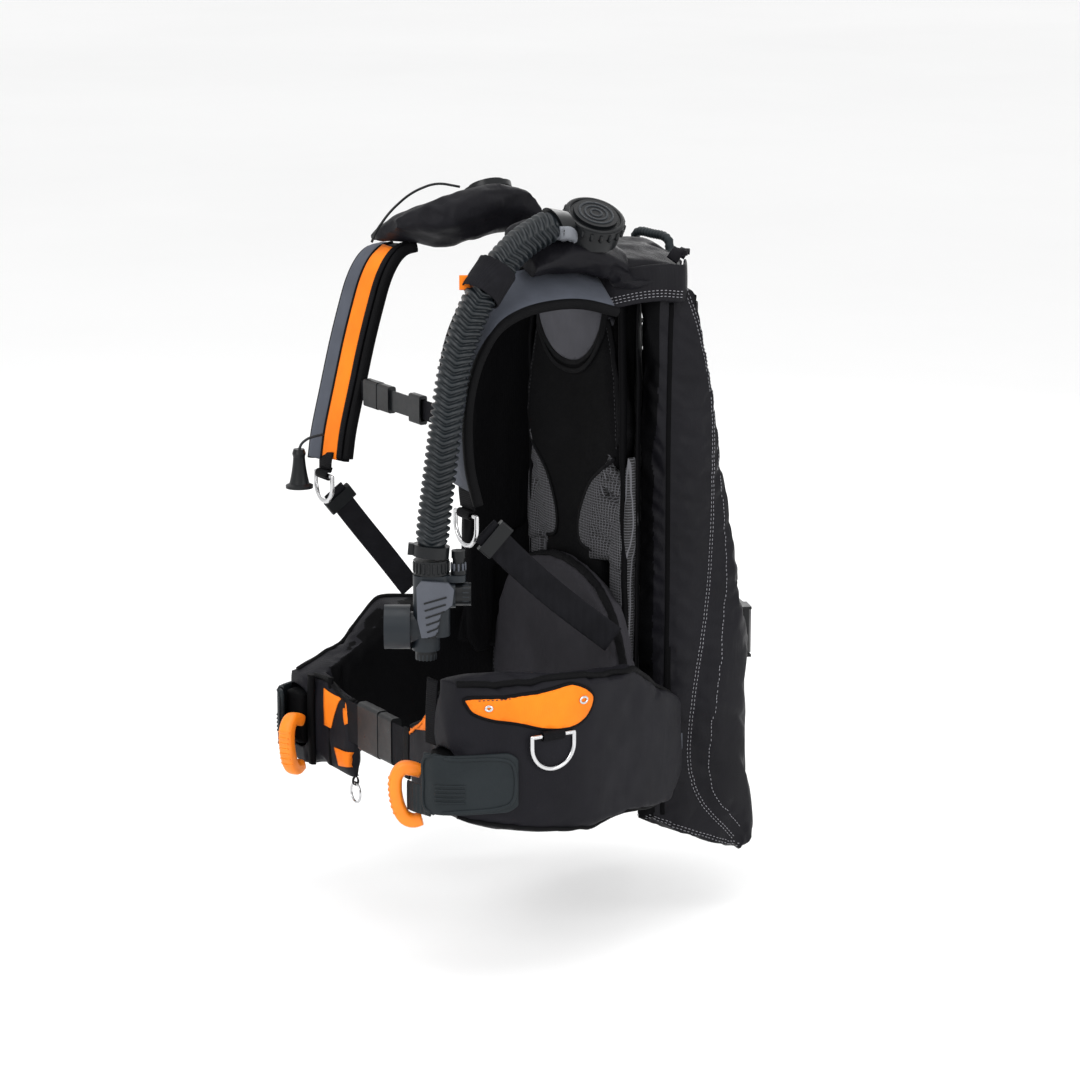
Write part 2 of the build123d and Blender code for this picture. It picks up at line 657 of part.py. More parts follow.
with BuildPart() as deflate_button:
    with BuildSketch(level.offset(-56)):
        with Locations((TOE_U, 0)):
            Circle(TOE_R)
    extrude(amount=16)
save(deflate_button, "deflate_button")

with BuildPart() as supply_nipple:
    with BuildSketch(level.offset(34.4)):
        with Locations((NIPPLE_U, 0)):
            Circle(8)
    extrude(amount=5)
    with BuildSketch(level.offset(39.4)):
        with Locations((NIPPLE_U, 0)):
            Circle(6)
    extrude(amount=12)
    with BuildSketch(level.offset(51.4)):
        with Locations((NIPPLE_U, 0)):
            Circle(7.2)
    extrude(amount=8)
save(supply_nipple, "supply_nipple")

with BuildPart() as mouthpiece:
    with BuildSketch(along(-49, MOUTH_Z)):
        Circle(23)
        Circle(16.5, mode=Mode.SUBTRACT)
    extrude(amount=27)
save(mouthpiece, "mouthpiece")

# =====================================================================================================
# Waist
# =====================================================================================================
LOBE_OUTER = [(133, -70), (170, -118), (199, -188), (219, -255), (212, -315), (190, -383)]
LOBE_FRONT = [(190, -383), (152, -381), (130, -366.2), (60, -366), (60, -354), (143, -354)]
LOBE_INNER = [(143, -354), (163, -310), (174, -250), (172, -190), (152, -130), (120, -84)]
LOBE_LOW, LOBE_HIGH = -152.0, 34.0
LOBE_SIDE = {
    1: [(-66, -44), (-165, 30), (-320, 34), (-400, 32), (-400, -108), (-330, -134), (-200, -150),
        (-100, -148), (-66, -115)],
    -1: [(-66, -44), (-165, 30), (-262, 26), (-312, -14), (-345, -30), (-400, -45), (-400, -140),
         (-330, -150), (-200, -152), (-100, -148), (-66, -115)],
}
# what is cut off the front flap above its slanting top edge, in the (x, z) front view
FLAP_CUT = {
    1: [(155, 60), (152, 24), (118, -2), (96, -26), (58, -44), (40, -44), (40, 60)],
    -1: [(155, 60), (152, -26), (58, -50), (40, -50), (40, 60)],
}
FLAP_LOW = {1: -116.0, -1: -140.0}
POUCH_DROP = {1: 0.0, -1: -12.0}
MOUTH = (168, -378)
PULL = Vector(-0.2556, -0.9668, 0)


def pocket_plane(sign, z):
    """Level plane at the pocket's mouth, with x across the pouch and y back into the pocket."""
    back = Vector(-sign * PULL.X, -PULL.Y, 0)
    return Plane(origin=(sign * MOUTH[0], MOUTH[1], z), x_dir=back.cross(UP), z_dir=UP)


for side, sign in (("left", 1), ("right", -1)):
    drop = POUCH_DROP[sign]
    with BuildPart() as lobe:
        with BuildSketch(Plane.XY.offset(LOBE_LOW)):
            with BuildLine():
                Spline(*mirrored(LOBE_OUTER, sign))
                Polyline(*mirrored(LOBE_FRONT, sign))
                Spline(*mirrored(LOBE_INNER, sign))
                Line(mirrored(LOBE_INNER, sign)[-1], mirrored(LOBE_OUTER, sign)[0])
            make_face()
        extrude(amount=LOBE_HIGH - LOBE_LOW)
        extrude(outline(Plane.YZ.offset(-260), LOBE_SIDE[sign]), amount=520, mode=Mode.INTERSECT)
        extrude(outline(Plane.XZ.offset(340), mirrored(FLAP_CUT[sign], sign)), amount=60, mode=Mode.SUBTRACT)
        low = FLAP_LOW[sign]
        flap_base = [(sign * 148, low), (sign * 20, low), (sign * 20, -200), (sign * 148, -200)]
        extrude(outline(Plane.XZ.offset(352), flap_base), amount=40, mode=Mode.SUBTRACT)
        with BuildSketch(pocket_plane(sign, -108 + drop)):
            with Locations((0, POUCH_L / 2 - 6)):
                RectangleRounded(POUCH_W + 2, POUCH_L + 20, 3)
        extrude(amount=POUCH_H + 4, mode=Mode.SUBTRACT)
    save(lobe, f"waist_lobe_{side}")

    with BuildPart() as pouch:
        with BuildSketch(pocket_plane(sign, -106 + drop)):
            with Locations((0, POUCH_L / 2 - 14)):
                RectangleRounded(POUCH_W, POUCH_L, 5)
        extrude(amount=POUCH_H)
    save(pouch, f"weight_pouch_{side}")

    with BuildPart() as cover:
        cover_path = mirrored([(217.5, -320), (209, -350), (198.5, -380), (186, -397), (168, -403)], sign)
        extrude(ribbon(Plane.XY.offset(-110 + drop), cover_path, 5), amount=66)
        strap_path = mirrored([(176, -401), (168, -403), (153, -407), (142.5, -408)], sign)
        extrude(ribbon(Plane.XY.offset(-113 + drop), strap_path, 3), amount=32)
    save(cover, f"pouch_cover_{side}")

    with BuildPart() as handle:
        facing = Vector(sign * FACING.X, FACING.Y, 0)
        across = facing.cross(UP) * -1
        grip_plane = Plane(origin=Vector(sign * 135, -406, -98 + drop) - facing * 7, x_dir=across, z_dir=facing)
        c_shape = [(-17, 24), (-14, 33), (-2, 35), (14, 29), (16, 21), (4, 19), (-3, 10), (-4, -6), (0, -18),
                   (13, -22), (15, -33), (4, -36), (-6, -33), (-14, -12), (-18, 8)]
        extrude(outline(grip_plane, [(sign * u, v) for u, v in c_shape]), amount=14)
    save(handle, f"pouch_handle_{side}")

# orange trim: a shaped panel on the left lobe's outer face, and facings on both front flaps
with BuildPart() as waist_trim:
    extrude(ribbon(Plane.XY.offset(-24), LOBE_OUTER, TRIM_T, 1.6), amount=50)
    shape = [(-226, 8), (-240, 20), (-300, 12), (-372, 24), (-377, 14), (-366, -12), (-345, -18),
             (-250, -22), (-228, -12)]
    extrude(outline(Plane.YZ.offset(180), shape), amount=60, mode=Mode.INTERSECT)
    for sign, corners in ((1, [(70, -43), (127, -43), (127, 2), (112, -8), (92, -34)]),
                          (-1, [(60, -108), (60, -132), (110, -132), (110, -108)]),
                          (-1, [(72, -46), (72, -60), (126, -46), (126, -36)])):
        extrude(outline(Plane.XZ.offset(366.4), mirrored(corners, sign)), amount=1.2)
save(waist_trim, "waist_trim")

# belt and side-release buckle
with BuildPart() as waist_socket:
    with BuildSketch(Plane.YZ.offset(-46)):
        with Locations((BELT_Y, BELT_Z)):
            RectangleRounded(14, 54, 4)
    extrude(amount=46)
    with BuildSketch(Plane.YZ.offset(-36)):
        for z in (-17, 0, 17):
            with Locations((BELT_Y, BELT_Z + z)):
                Rectangle(8, 8.8)
    extrude(amount=40, mode=Mode.SUBTRACT)
save(waist_socket, "waist_buckle_socket")

with BuildPart() as waist_plug:
    with BuildSketch(Plane.YZ.offset(0.5)):
        with Locations((BELT_Y, BELT_Z)):
            RectangleRounded(13, 52, 4)
    extrude(amount=30.5)
    with BuildSketch(Plane.YZ.offset(-27)):
        for z in (-17, 0, 17):
            with Locations((BELT_Y, BELT_Z + z)):
                Rectangle(7, 7.8)
    extrude(amount=27.5)
save(waist_plug, "waist_buckle_plug")

for side, sign in (("left", 1), ("right", -1)):
    with BuildPart() as belt:
        start = 31.5 if sign == 1 else 46.5
        with BuildSketch(Plane.XZ.offset(367.9)):
            with Locations((sign * (start + 98) / 2, BELT_Z)):
                Rectangle(98 - start, 46)
        extrude(amount=1.6)
    save(belt, f"waist_webbing_{side}")

with BuildPart() as split_ring:
    with BuildSketch(Plane(origin=SPLIT_RING + Vector(SPLIT_RING_R, 0, 0), z_dir=(0, 0, 1))):
        Circle(SPLIT_WIRE_R)
    revolve(axis=Axis(SPLIT_RING, (0, 1, 0)))
save(split_ring, "split_ring")
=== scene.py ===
"""Look of the buoyancy compensator vest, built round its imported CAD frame.

Metres, +Z up. The wearer faces -Y and +X is the wearer's left. Lists of points are in millimetres.
"""

from math import cos, exp, hypot, pi, radians, sin

import bmesh
import bpy
from mathutils import Matrix, Vector, noise
from mathutils.bvhtree import BVHTree
from mathutils.geometry import delaunay_2d_cdt


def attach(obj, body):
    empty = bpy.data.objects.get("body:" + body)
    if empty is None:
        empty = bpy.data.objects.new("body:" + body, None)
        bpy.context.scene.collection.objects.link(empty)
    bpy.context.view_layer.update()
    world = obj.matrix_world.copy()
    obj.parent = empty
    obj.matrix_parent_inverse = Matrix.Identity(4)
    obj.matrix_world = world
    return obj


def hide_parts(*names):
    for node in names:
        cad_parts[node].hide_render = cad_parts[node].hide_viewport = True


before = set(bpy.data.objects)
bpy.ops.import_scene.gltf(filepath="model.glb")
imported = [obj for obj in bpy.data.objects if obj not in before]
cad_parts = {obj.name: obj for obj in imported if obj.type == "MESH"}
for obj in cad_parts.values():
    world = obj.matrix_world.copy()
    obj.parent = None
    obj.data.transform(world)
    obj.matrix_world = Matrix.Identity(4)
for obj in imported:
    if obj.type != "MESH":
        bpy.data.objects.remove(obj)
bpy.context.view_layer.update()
MM = 0.001
UP = Vector((0, 0, 1))
HARNESS = "harness"


def mm(*point):
    """A point given in millimetres, as a vector in metres."""
    return Vector(point) * MM


def placed(name, data):
    """A new object, put into the scene."""
    obj = bpy.data.objects.new(name, data)
    bpy.context.collection.objects.link(obj)
    return obj


def new_mesh(name, verts, faces):
    """A new mesh from its points and faces."""
    mesh = bpy.data.meshes.new(name)
    mesh.from_pydata(verts, [], faces)
    return mesh


# ------------------------------------------------------------
# Camera, light and floor
VIEW_DIR, VIEW_TILT = radians(60), radians(12.5)
CAMERA_AT = Vector((3.3337, -2.0927, 0.9745))
FLOOR_Z = -0.292
TOWARD_VIEW = Vector((sin(VIEW_DIR), -cos(VIEW_DIR), 0))    # from the vest to the camera, kept level

side_axis = Vector((cos(VIEW_DIR), sin(VIEW_DIR), 0))
back_axis = Vector((sin(VIEW_DIR) * cos(VIEW_TILT), -cos(VIEW_DIR) * cos(VIEW_TILT), sin(VIEW_TILT)))
camera_data = bpy.data.cameras.new("camera")
camera_data.lens = 120
camera_data.sensor_width = 36
camera_data.clip_end = 50
camera = placed("camera", camera_data)
axes = Matrix((side_axis, back_axis.cross(side_axis), back_axis)).transposed()
camera.matrix_world = Matrix.Translation(CAMERA_AT) @ axes.to_4x4()
bpy.context.scene.camera = camera


def softbox(name, place, aim, size, power):
    """Square area light at place, turned towards aim."""
    data = bpy.data.lights.new(name, "AREA")
    data.size = size
    data.energy = power
    light = placed(name, data)
    light.location = place
    light.rotation_euler = (Vector(aim) - Vector(place)).to_track_quat("-Z", "Y").to_euler()


MIDDLE = (0, -0.2, 0.1)
softbox("key_light", (1.2, -2.6, 1.9), MIDDLE, 1.4, 30)
softbox("side_light", (2.6, 0.4, 1.0), MIDDLE, 1.2, 18)
softbox("top_light", (0.2, -0.3, 2.4), MIDDLE, 1.6, 18)
softbox("back_light", (-1.6, 1.8, 1.4), MIDDLE, 1.4, 16)

world = bpy.data.worlds.new("studio")
world.use_nodes = True
world.node_tree.nodes["Background"].inputs["Color"].default_value = (1, 1, 1, 1)
world.node_tree.nodes["Background"].inputs["Strength"].default_value = 1.0
bpy.context.scene.world = world
bpy.context.scene.view_settings.view_transform = "Standard"

# ------------------------------------------------------------
# Materials


def new_material(name):
    """Empty principled material, a setter for its shader's inputs and its node maker."""
    mat = bpy.data.materials.new(name)
    mat.use_nodes = True
    tree = mat.node_tree
    shader = tree.nodes["Principled BSDF"]

    def put(node, key, value):
        if isinstance(value, bpy.types.NodeSocket):
            tree.links.new(value, node.inputs[key])
        else:
            node.inputs[key].default_value = value

    def feed(**inputs):
        for key, value in inputs.items():
            put(shader, key.replace("_", " "), value)

    def add(kind, settings=None, **inputs):
        made = tree.nodes.new("ShaderNode" + kind)
        for key, value in (settings or {}).items():
            setattr(made, key, value)
        for key, value in inputs.items():
            put(made, key.replace("_", " "), value)
        return made

    def combine(operation, *values):
        made = add("Math", {"operation": operation})
        for index, value in enumerate(values):
            put(made, index, value)
        return made

    return mat, feed, add, combine


def place(add, scale=(1, 1, 1), turn=(0, 0, 0)):
    """Object coordinates, in metres, scaled and turned."""
    coords = add("TexCoord")
    mapping = add("Mapping", Vector=coords.outputs["Object"])
    mapping.inputs["Scale"].default_value = scale
    mapping.inputs["Rotation"].default_value = turn
    return mapping.outputs["Vector"]


def shade(color, factor):
    """A colour made lighter or darker, with its alpha kept."""
    return tuple(min(1.0, c * factor) for c in color[:3]) + (1,)


def mottled(add, color, low, high, scale, where=None):
    """Colour that wanders between two brightnesses of itself."""
    where = where or place(add)
    cloud = add("TexNoise", Vector=where, Scale=scale, Detail=5.0, Roughness=0.6)
    ramp = add("ValToRGB", Fac=cloud.outputs["Fac"])
    ramp.color_ramp.elements[0].position = 0.3
    ramp.color_ramp.elements[0].color = shade(color, low)
    ramp.color_ramp.elements[1].position = 0.7
    ramp.color_ramp.elements[1].color = shade(color, high)
    return ramp.outputs["Color"]


def cloth(name, color, pitch=0.9, weave=0.35, crease=0.5, crease_scale=(16, 16, 7), rough=0.72, sheen=0.03,
          gloss=0.2):
    """Woven nylon: weave of a given pitch in mm, soft creases, colour variation and sheen."""
    mat, feed, add, combine = new_material(name)
    feed(Base_Color=mottled(add, color, 0.78, 1.28, 9.0))
    turned = place(add, turn=(0, 0, radians(32)))
    band = 0.314 / (pitch * MM)
    warp = add("TexWave", {"bands_direction": "X"}, Vector=turned, Scale=band, Distortion=0.4)
    weft = add("TexWave", {"bands_direction": "Z"}, Vector=turned, Scale=band, Distortion=0.4)
    cross = combine("MULTIPLY", warp.outputs["Fac"], weft.outputs["Fac"])
    folds = add("TexNoise", Vector=place(add, crease_scale), Scale=1.0, Detail=4.0, Distortion=0.8)
    first = add("Bump", Strength=crease, Distance=0.006, Height=folds.outputs["Fac"])
    second = add("Bump", Strength=weave, Distance=0.0004, Height=cross.outputs["Value"],
                 Normal=first.outputs["Normal"])
    feed(Normal=second.outputs["Normal"])
    wear = add("TexNoise", Vector=place(add), Scale=38.0, Detail=6.0)
    spread = add("MapRange", Value=wear.outputs["Fac"], To_Min=rough - 0.12, To_Max=rough + 0.12)
    feed(Roughness=spread.outputs["Result"])
    feed(Sheen_Weight=sheen, Sheen_Roughness=0.45, Specular_IOR_Level=gloss)
    return mat


def moulded(name, color, rough=0.42, grain=0.12, grain_scale=900, mottle=12.0, drift=0.17, gloss=0.4):
    """Moulded plastic or rubber: fine grain, slight colour drift and scuffed roughness."""
    mat, feed, add, _ = new_material(name)
    feed(Base_Color=mottled(add, color, 1 - drift, 1 + drift, mottle))
    speck = add("TexNoise", Vector=place(add), Scale=float(grain_scale), Detail=2.0)
    bump = add("Bump", Strength=grain, Distance=0.0004, Height=speck.outputs["Fac"])
    feed(Normal=bump.outputs["Normal"])
    scuff = add("TexNoise", Vector=place(add), Scale=45.0, Detail=8.0, Roughness=0.7)
    spread = add("MapRange", Value=scuff.outputs["Fac"], From_Min=0.3, From_Max=0.75,
                 To_Min=rough - 0.08, To_Max=rough + 0.16)
    feed(Roughness=spread.outputs["Result"])
    feed(Specular_IOR_Level=gloss)
    return mat


def steel(name, color, rough):
    """Polished stainless steel with fine brush marks."""
    mat, feed, add, _ = new_material(name)
    feed(Base_Color=mottled(add, color, 0.9, 1.05, 60.0))
    marks = add("TexNoise", Vector=place(add, (300, 300, 2200)), Scale=1.0, Detail=3.0)
    bump = add("Bump", Strength=0.06, Distance=0.0003, Height=marks.outputs["Fac"])
    feed(Normal=bump.outputs["Normal"])
    spread = add("MapRange", Value=marks.outputs["Fac"], To_Min=rough, To_Max=rough + 0.12)
    feed(Roughness=spread.outputs["Result"])
    feed(Metallic=1.0)
    return mat


def ribbed(name, color, pitch, direction, rough=0.7, strength=0.6):
    """Webbing: ribs of a given pitch in mm across one axis, with a fine cross thread."""
    mat, feed, add, _ = new_material(name)
    feed(Base_Color=mottled(add, color, 0.75, 1.3, 40.0))
    where = place(add)
    ribs = add("TexWave", {"bands_direction": direction}, Vector=where,
               Scale=0.314 / (pitch * MM), Distortion=0.6)
    thread = add("TexNoise", Vector=where, Scale=1400.0, Detail=2.0)
    first = add("Bump", Strength=strength, Distance=0.0006, Height=ribs.outputs["Fac"])
    second = add("Bump", Strength=0.2, Distance=0.0003, Height=thread.outputs["Fac"],
                 Normal=first.outputs["Normal"])
    feed(Normal=second.outputs["Normal"])
    worn = add("TexNoise", Vector=where, Scale=30.0, Detail=6.0)
    spread = add("MapRange", Value=worn.outputs["Fac"], To_Min=rough - 0.1, To_Max=rough + 0.1)
    feed(Roughness=spread.outputs["Result"])
    feed(Specular_IOR_Level=0.08)
    return mat


def net(name, ground, thread, pitch):
    """Open spacer mesh: a light grid of threads over a dark ground, pitch in mm."""
    mat, feed, add, combine = new_material(name)
    where = place(add)
    band = 0.314 / (pitch * MM)
    rows = add("TexWave", {"bands_direction": "Z"}, Vector=where, Scale=band, Distortion=0.5)
    turned = place(add, turn=(0, 0, radians(25)))
    columns = add("TexWave", {"bands_direction": "X"}, Vector=turned, Scale=band, Distortion=0.5)
    grid = combine("MAXIMUM", rows.outputs["Fac"], columns.outputs["Fac"])
    ramp = add("ValToRGB", Fac=grid.outputs["Value"])
    ramp.color_ramp.elements[0].position = 0.80
    ramp.color_ramp.elements[0].color = ground + (1,)
    ramp.color_ramp.elements[1].position = 0.93
    ramp.color_ramp.elements[1].color = thread + (1,)
    feed(Base_Color=ramp.outputs["Color"])
    bump = add("Bump", Strength=0.8, Distance=0.0012, Height=grid.outputs["Value"])
    feed(Normal=bump.outputs["Normal"])
    feed(Roughness=0.8)
    return mat


SHELL = cloth("shell_black", (0.0052, 0.0050, 0.0070), crease=0.7, crease_scale=(14, 14, 5), rough=0.5,
              sheen=0.0, gloss=0.13)
# the shell fabric made darker as painted shade, for faces turned away from the light and pieces that sit in
# shadow
SHELL_SHADED = cloth("shell_black_painted_shade", (0.0020, 0.0020, 0.0024), crease=0.35, rough=0.62, sheen=0.0,
                   gloss=0.04)
SHELL_FLAT = cloth("shell_panel", (0.0078, 0.0076, 0.0102), crease=0.4, crease_scale=(10, 10, 4),
                   rough=0.55, sheen=0.0, gloss=0.10)
PAD_GREY = cloth("pad_slate", (0.066, 0.073, 0.092), pitch=1.1, crease=0.4, crease_scale=(20, 12, 12),
                 rough=0.75)
PANEL_GREY = cloth("panel_grey", (0.055, 0.055, 0.064), pitch=1.2, weave=0.5, crease=0.2, rough=0.8)
LUMBAR_GREY = cloth("lumbar_grey", (0.027, 0.026, 0.030), pitch=1.2, weave=0.5, crease=0.25, rough=0.8,
                    sheen=0.0, gloss=0.06)
BACK_BLACK = cloth("back_black", (0.0030, 0.0030, 0.0034), pitch=1.6, weave=0.7, crease=0.2, rough=0.75,
                   sheen=0.0, gloss=0.05)
ORANGE_CLOTH = cloth("orange_cloth", (0.92, 0.185, 0.006), pitch=0.8, weave=0.3, crease=0.25, rough=0.65,
                     sheen=0.0)
BINDING = cloth("binding_black", (0.0026, 0.0026, 0.0032), pitch=0.7, weave=0.6, crease=0.15, rough=0.6,
                sheen=0.0, gloss=0.08)
WEB_FLAT = ribbed("webbing_black", (0.0042, 0.0042, 0.0052), 2.2, "Z")
WEB_SIDE = ribbed("webbing_black_across", (0.0070, 0.0070, 0.0088), 2.2, "X")
NETTING = net("spacer_mesh", (0.006, 0.006, 0.007), (0.085, 0.085, 0.095), 3.0)
HARD_BLACK = moulded("hard_black", (0.0040, 0.0048, 0.0058), rough=0.34, gloss=0.26)
HARD_SLATE = moulded("hard_slate", (0.0095, 0.0130, 0.0170), rough=0.38, gloss=0.28)
SLATE_RUBBER = moulded("slate_rubber", (0.0100, 0.0140, 0.0165), rough=0.55, grain=0.3, grain_scale=600,
                       gloss=0.2)
GRIP_GREY = moulded("grip_grey", (0.062, 0.068, 0.084), rough=0.6, grain=0.35, grain_scale=500)
INSERT_GREY = moulded("insert_grey", (0.16, 0.17, 0.19), rough=0.5)
HOSE_BLACK = moulded("hose_black", (0.0082, 0.0112, 0.0138), rough=0.36, grain=0.1, gloss=0.34)
HARD_ORANGE = moulded("hard_orange", (1.0, 0.235, 0.010), rough=0.4, grain=0.25, grain_scale=500)
STAINLESS = steel("stainless", (0.60, 0.60, 0.61, 1), 0.14)
THREAD = moulded("thread_light", (0.24, 0.24, 0.26), rough=0.7, grain=0.3)
THREAD_DARK = moulded("thread_dark", (0.030, 0.030, 0.034), rough=0.7, grain=0.3)
FLOOR = moulded("floor", (0.93, 0.93, 0.93), rough=0.6, grain=0.02, mottle=0.4, drift=0.02)

floor_mesh = new_mesh("floor", [(x, y, FLOOR_Z) for x, y in ((-15, -15), (15, -15), (15, 15), (-15, 15))],
                      [(0, 1, 2, 3)])
floor_mesh.materials.append(FLOOR)
floor_object = placed("floor", floor_mesh)

# ------------------------------------------------------------
# Shape helpers


def piece(name, mesh, mat, body=HARNESS, replaces=(), smooth=True):
    """Puts a finished mesh into the scene as a named piece that rides on a body."""
    obj = placed(name, mesh)
    if mat is not None:
        mesh.materials.clear()
        mesh.materials.append(mat)
    if smooth:
        mesh.shade_smooth()
    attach(obj, body)
    if replaces:
        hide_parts(*replaces)
    return obj


def flow(points, step=3.0, closed=False):
    """Even points, about step millimetres apart, on a smooth curve through the given points."""
    knots = [p if isinstance(p, Vector) else mm(*p) for p in points]
    count = len(knots)
    dense = []
    for i in range(count if closed else count - 1):
        if closed:
            a, b, c, d = (knots[(i + k) % count] for k in (-1, 0, 1, 2))
        else:
            b, c = knots[i], knots[i + 1]
            a = knots[i - 1] if i else b * 2 - c
            d = knots[i + 2] if i + 2 < count else c * 2 - b
        for k in range(16):
            t = k / 16
            dense.append(0.5 * (2 * b + (c - a) * t + (2 * a - 5 * b + 4 * c - d) * t ** 2
                                + (3 * b - 3 * c + d - a) * t ** 3))
    dense.append(knots[0] if closed else knots[-1])
    lengths = [0.0]
    for p, q in zip(dense, dense[1:]):
        lengths.append(lengths[-1] + (q - p).length)
    total = max(2, round(lengths[-1] / (step * MM)))
    even, at = [], 0
    for k in range(total + 1):
        want = lengths[-1] * k / total
        while at < len(dense) - 2 and lengths[at + 1] < want:
            at += 1
        span = lengths[at + 1] - lengths[at] or 1.0
        even.append(dense[at].lerp(dense[at + 1], (want - lengths[at]) / span))
    return even[:-1] if closed else even


def oval(width, thick, power=2.0, count=16):
    """Cross-section outline: power 2 is an ellipse, more is squarer. Millimetres in, metres out."""
    ring = []
    for k in range(count):
        a = 2 * pi * k / count
        c, s = cos(a), sin(a)
        x = abs(c) ** (2 / power) * (1 if c >= 0 else -1)
        y = abs(s) ** (2 / power) * (1 if s >= 0 else -1)
        ring.append((x * width / 2 * MM, y * thick / 2 * MM))
    return ring


def tangents(path, closed=False):
    """Unit direction of travel at each point."""
    n = len(path)
    found = []
    for i in range(n):
        ahead = path[(i + 1) % n] if closed else path[min(i + 1, n - 1)]
        behind = path[i - 1] if closed or i else path[0]
        found.append((ahead - behind).normalized())
    return found


def turn_outward(mesh):
    """Makes a mesh's faces agree on their outer side."""
    copy = bmesh.new()
    copy.from_mesh(mesh)
    bmesh.ops.recalc_face_normals(copy, faces=copy.faces)
    copy.to_mesh(mesh)
    copy.free()


def skin_mesh(name, path, across, sections, closed=False):
    """Mesh of sections set square to a path. across gives each section's first axis."""
    n, m = len(path), len(sections[0])
    verts, faces = [], []
    for i, (p, t) in enumerate(zip(path, tangents(path, closed))):
        a = across[i] if isinstance(across, list) else across
        x = (a - t * a.dot(t)).normalized()
        y = t.cross(x)
        section = sections[i % len(sections)]
        verts += [p + x * u + y * v for u, v in section]
    for i in range(n if closed else n - 1):
        for k in range(m):
            k2 = (k + 1) % m
            j = (i + 1) % n
            faces.append((i * m + k, i * m + k2, j * m + k2, j * m + k))
    if not closed:
        faces.append(tuple(range(m))[::-1])
        faces.append(tuple((n - 1) * m + k for k in range(m)))
    mesh = new_mesh(name, verts, faces)
    mesh.validate()
    turn_outward(mesh)
    return mesh


def band(name, points, across, width, thick, mat, slot, body=HARNESS, power=5.0, step=4.0, replaces=(),
         closed=False, wave=0.0):
    """Strap of even width along a smooth path, with rounded edges and slight waviness."""
    path = flow(points, step, closed)
    if wave:
        path = [p + Vector(noise.noise_vector(p * 22)) * wave * MM for p in path]
    mesh = skin_mesh(name, path, across, [oval(width, thick, power, 20)] * len(path), closed)
    return piece(name, mesh, mat, body, replaces)


def baked(obj):
    """The mesh an object shows with its modifiers, as a new mesh."""
    graph = bpy.context.evaluated_depsgraph_get()
    graph.update()
    return bpy.data.meshes.new_from_object(obj.evaluated_get(graph))


def modify(obj, kind, **settings):
    """Adds one modifier and bakes it into the object's mesh."""
    modifier = obj.modifiers.new(kind.lower(), kind)
    for key, value in settings.items():
        setattr(modifier, key, value)
    mesh = baked(obj)
    obj.modifiers.clear()
    obj.data = mesh


def rework(obj, voxel, passes):
    """Rebuilds a solid as one even mesh of voxels, in mm, and smooths it."""
    modify(obj, "REMESH", mode="VOXEL", voxel_size=voxel * MM, use_smooth_shade=True)
    modify(obj, "SMOOTH", factor=0.5, iterations=passes)


def near(points):
    """Distance test against a seam line, given as smooth points."""
    line = flow(points, 4.0)

    def distance(p):
        return min((p - q).length for q in line)
    return distance


def puff(obj, pressure, cap, seams, seam_width, frames=20, looseness=-0.03):
    """Cloth run under air pressure. Vertices on a seam are held and no vertex moves more than cap."""
    start = [v.co.copy() for v in obj.data.vertices]
    group = obj.vertex_groups.new(name="held")
    tests = [near(s) for s in seams]
    for v in obj.data.vertices:
        if any(test(v.co) < seam_width * MM for test in tests):
            group.add([v.index], 1.0, "REPLACE")
    cloth_run = obj.modifiers.new("cloth", "CLOTH")
    settings = cloth_run.settings
    settings.quality = 5
    settings.mass = 0.3
    settings.use_pressure = True
    settings.uniform_pressure_force = pressure
    settings.shrink_min = looseness
    settings.vertex_group_mass = "held"
    settings.effector_weights.gravity = 0
    settings.bending_stiffness = 0.4
    cloth_run.collision_settings.use_collision = False
    scene = bpy.context.scene
    for number in range(1, frames + 1):
        scene.frame_set(number)
    mesh = baked(obj)
    obj.modifiers.clear()
    obj.vertex_groups.clear()
    capped = []
    for v, home in zip(mesh.vertices, start):
        move = v.co - home
        if move.length > cap * MM:
            move = move.normalized() * cap * MM
        capped.extend(home + move)
    mesh.vertices.foreach_set("co", capped)
    mesh.update()
    obj.data = mesh
    scene.frame_set(1)


def swell(obj, rise):
    """Moves each vertex along its normal by rise(place) millimetres."""
    vertices = obj.data.vertices
    normals = [v.normal.copy() for v in vertices]
    places = [v.co.copy() for v in vertices]
    moved = []
    for co, normal in zip(places, normals):
        moved.extend(co + normal * rise(co) * MM)
    vertices.foreach_set("co", moved)
    obj.data.update()


def wrinkle(obj, size, scale, seed):
    """Moves the surface in and out by layered noise. size in mm, scale per metre along X, Y and Z."""
    shift = Vector((seed * 3.7, seed * 1.3, seed * 2.1))

    def rise(co):
        p = Vector((co.x * scale[0], co.y * scale[1], co.z * scale[2])) + shift
        return size * (noise.noise(p) + 0.5 * noise.noise(p * 2.3) - 0.35 * abs(noise.noise(p * 1.4)))

    swell(obj, rise)


def soft(node, mat, voxel=5.0, inset=2.0, pressure=4.0, cap=8.0, seams=(), seam_width=5.0, smooth=3,
         folds=1.0, fold_scale=(25, 25, 12), seed=1, looseness=-0.03):
    """Padded piece in place of a CAD solid: remeshed, blown up a little, creased, and smoothed."""
    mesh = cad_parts[node].data.copy()
    obj = piece(node.replace("_", "-") + "-soft", mesh, mat, replaces=(node,))
    rework(obj, voxel, smooth)
    swell(obj, lambda co: -inset)
    puff(obj, pressure, cap, seams, seam_width, looseness=looseness)
    modify(obj, "SUBSURF", levels=1, render_levels=1)
    wrinkle(obj, folds, fold_scale, seed)
    obj.data.materials.clear()
    obj.data.materials.append(mat)
    obj.data.shade_smooth()
    return obj


def paint(obj, mat, test):
    """Gives the faces that pass a test of their centre, in mm, another material."""
    obj.data.materials.append(mat)
    index = len(obj.data.materials) - 1
    for face in obj.data.polygons:
        centre = face.center / MM
        if test(centre.x, centre.y, centre.z, face.normal):
            face.material_index = index


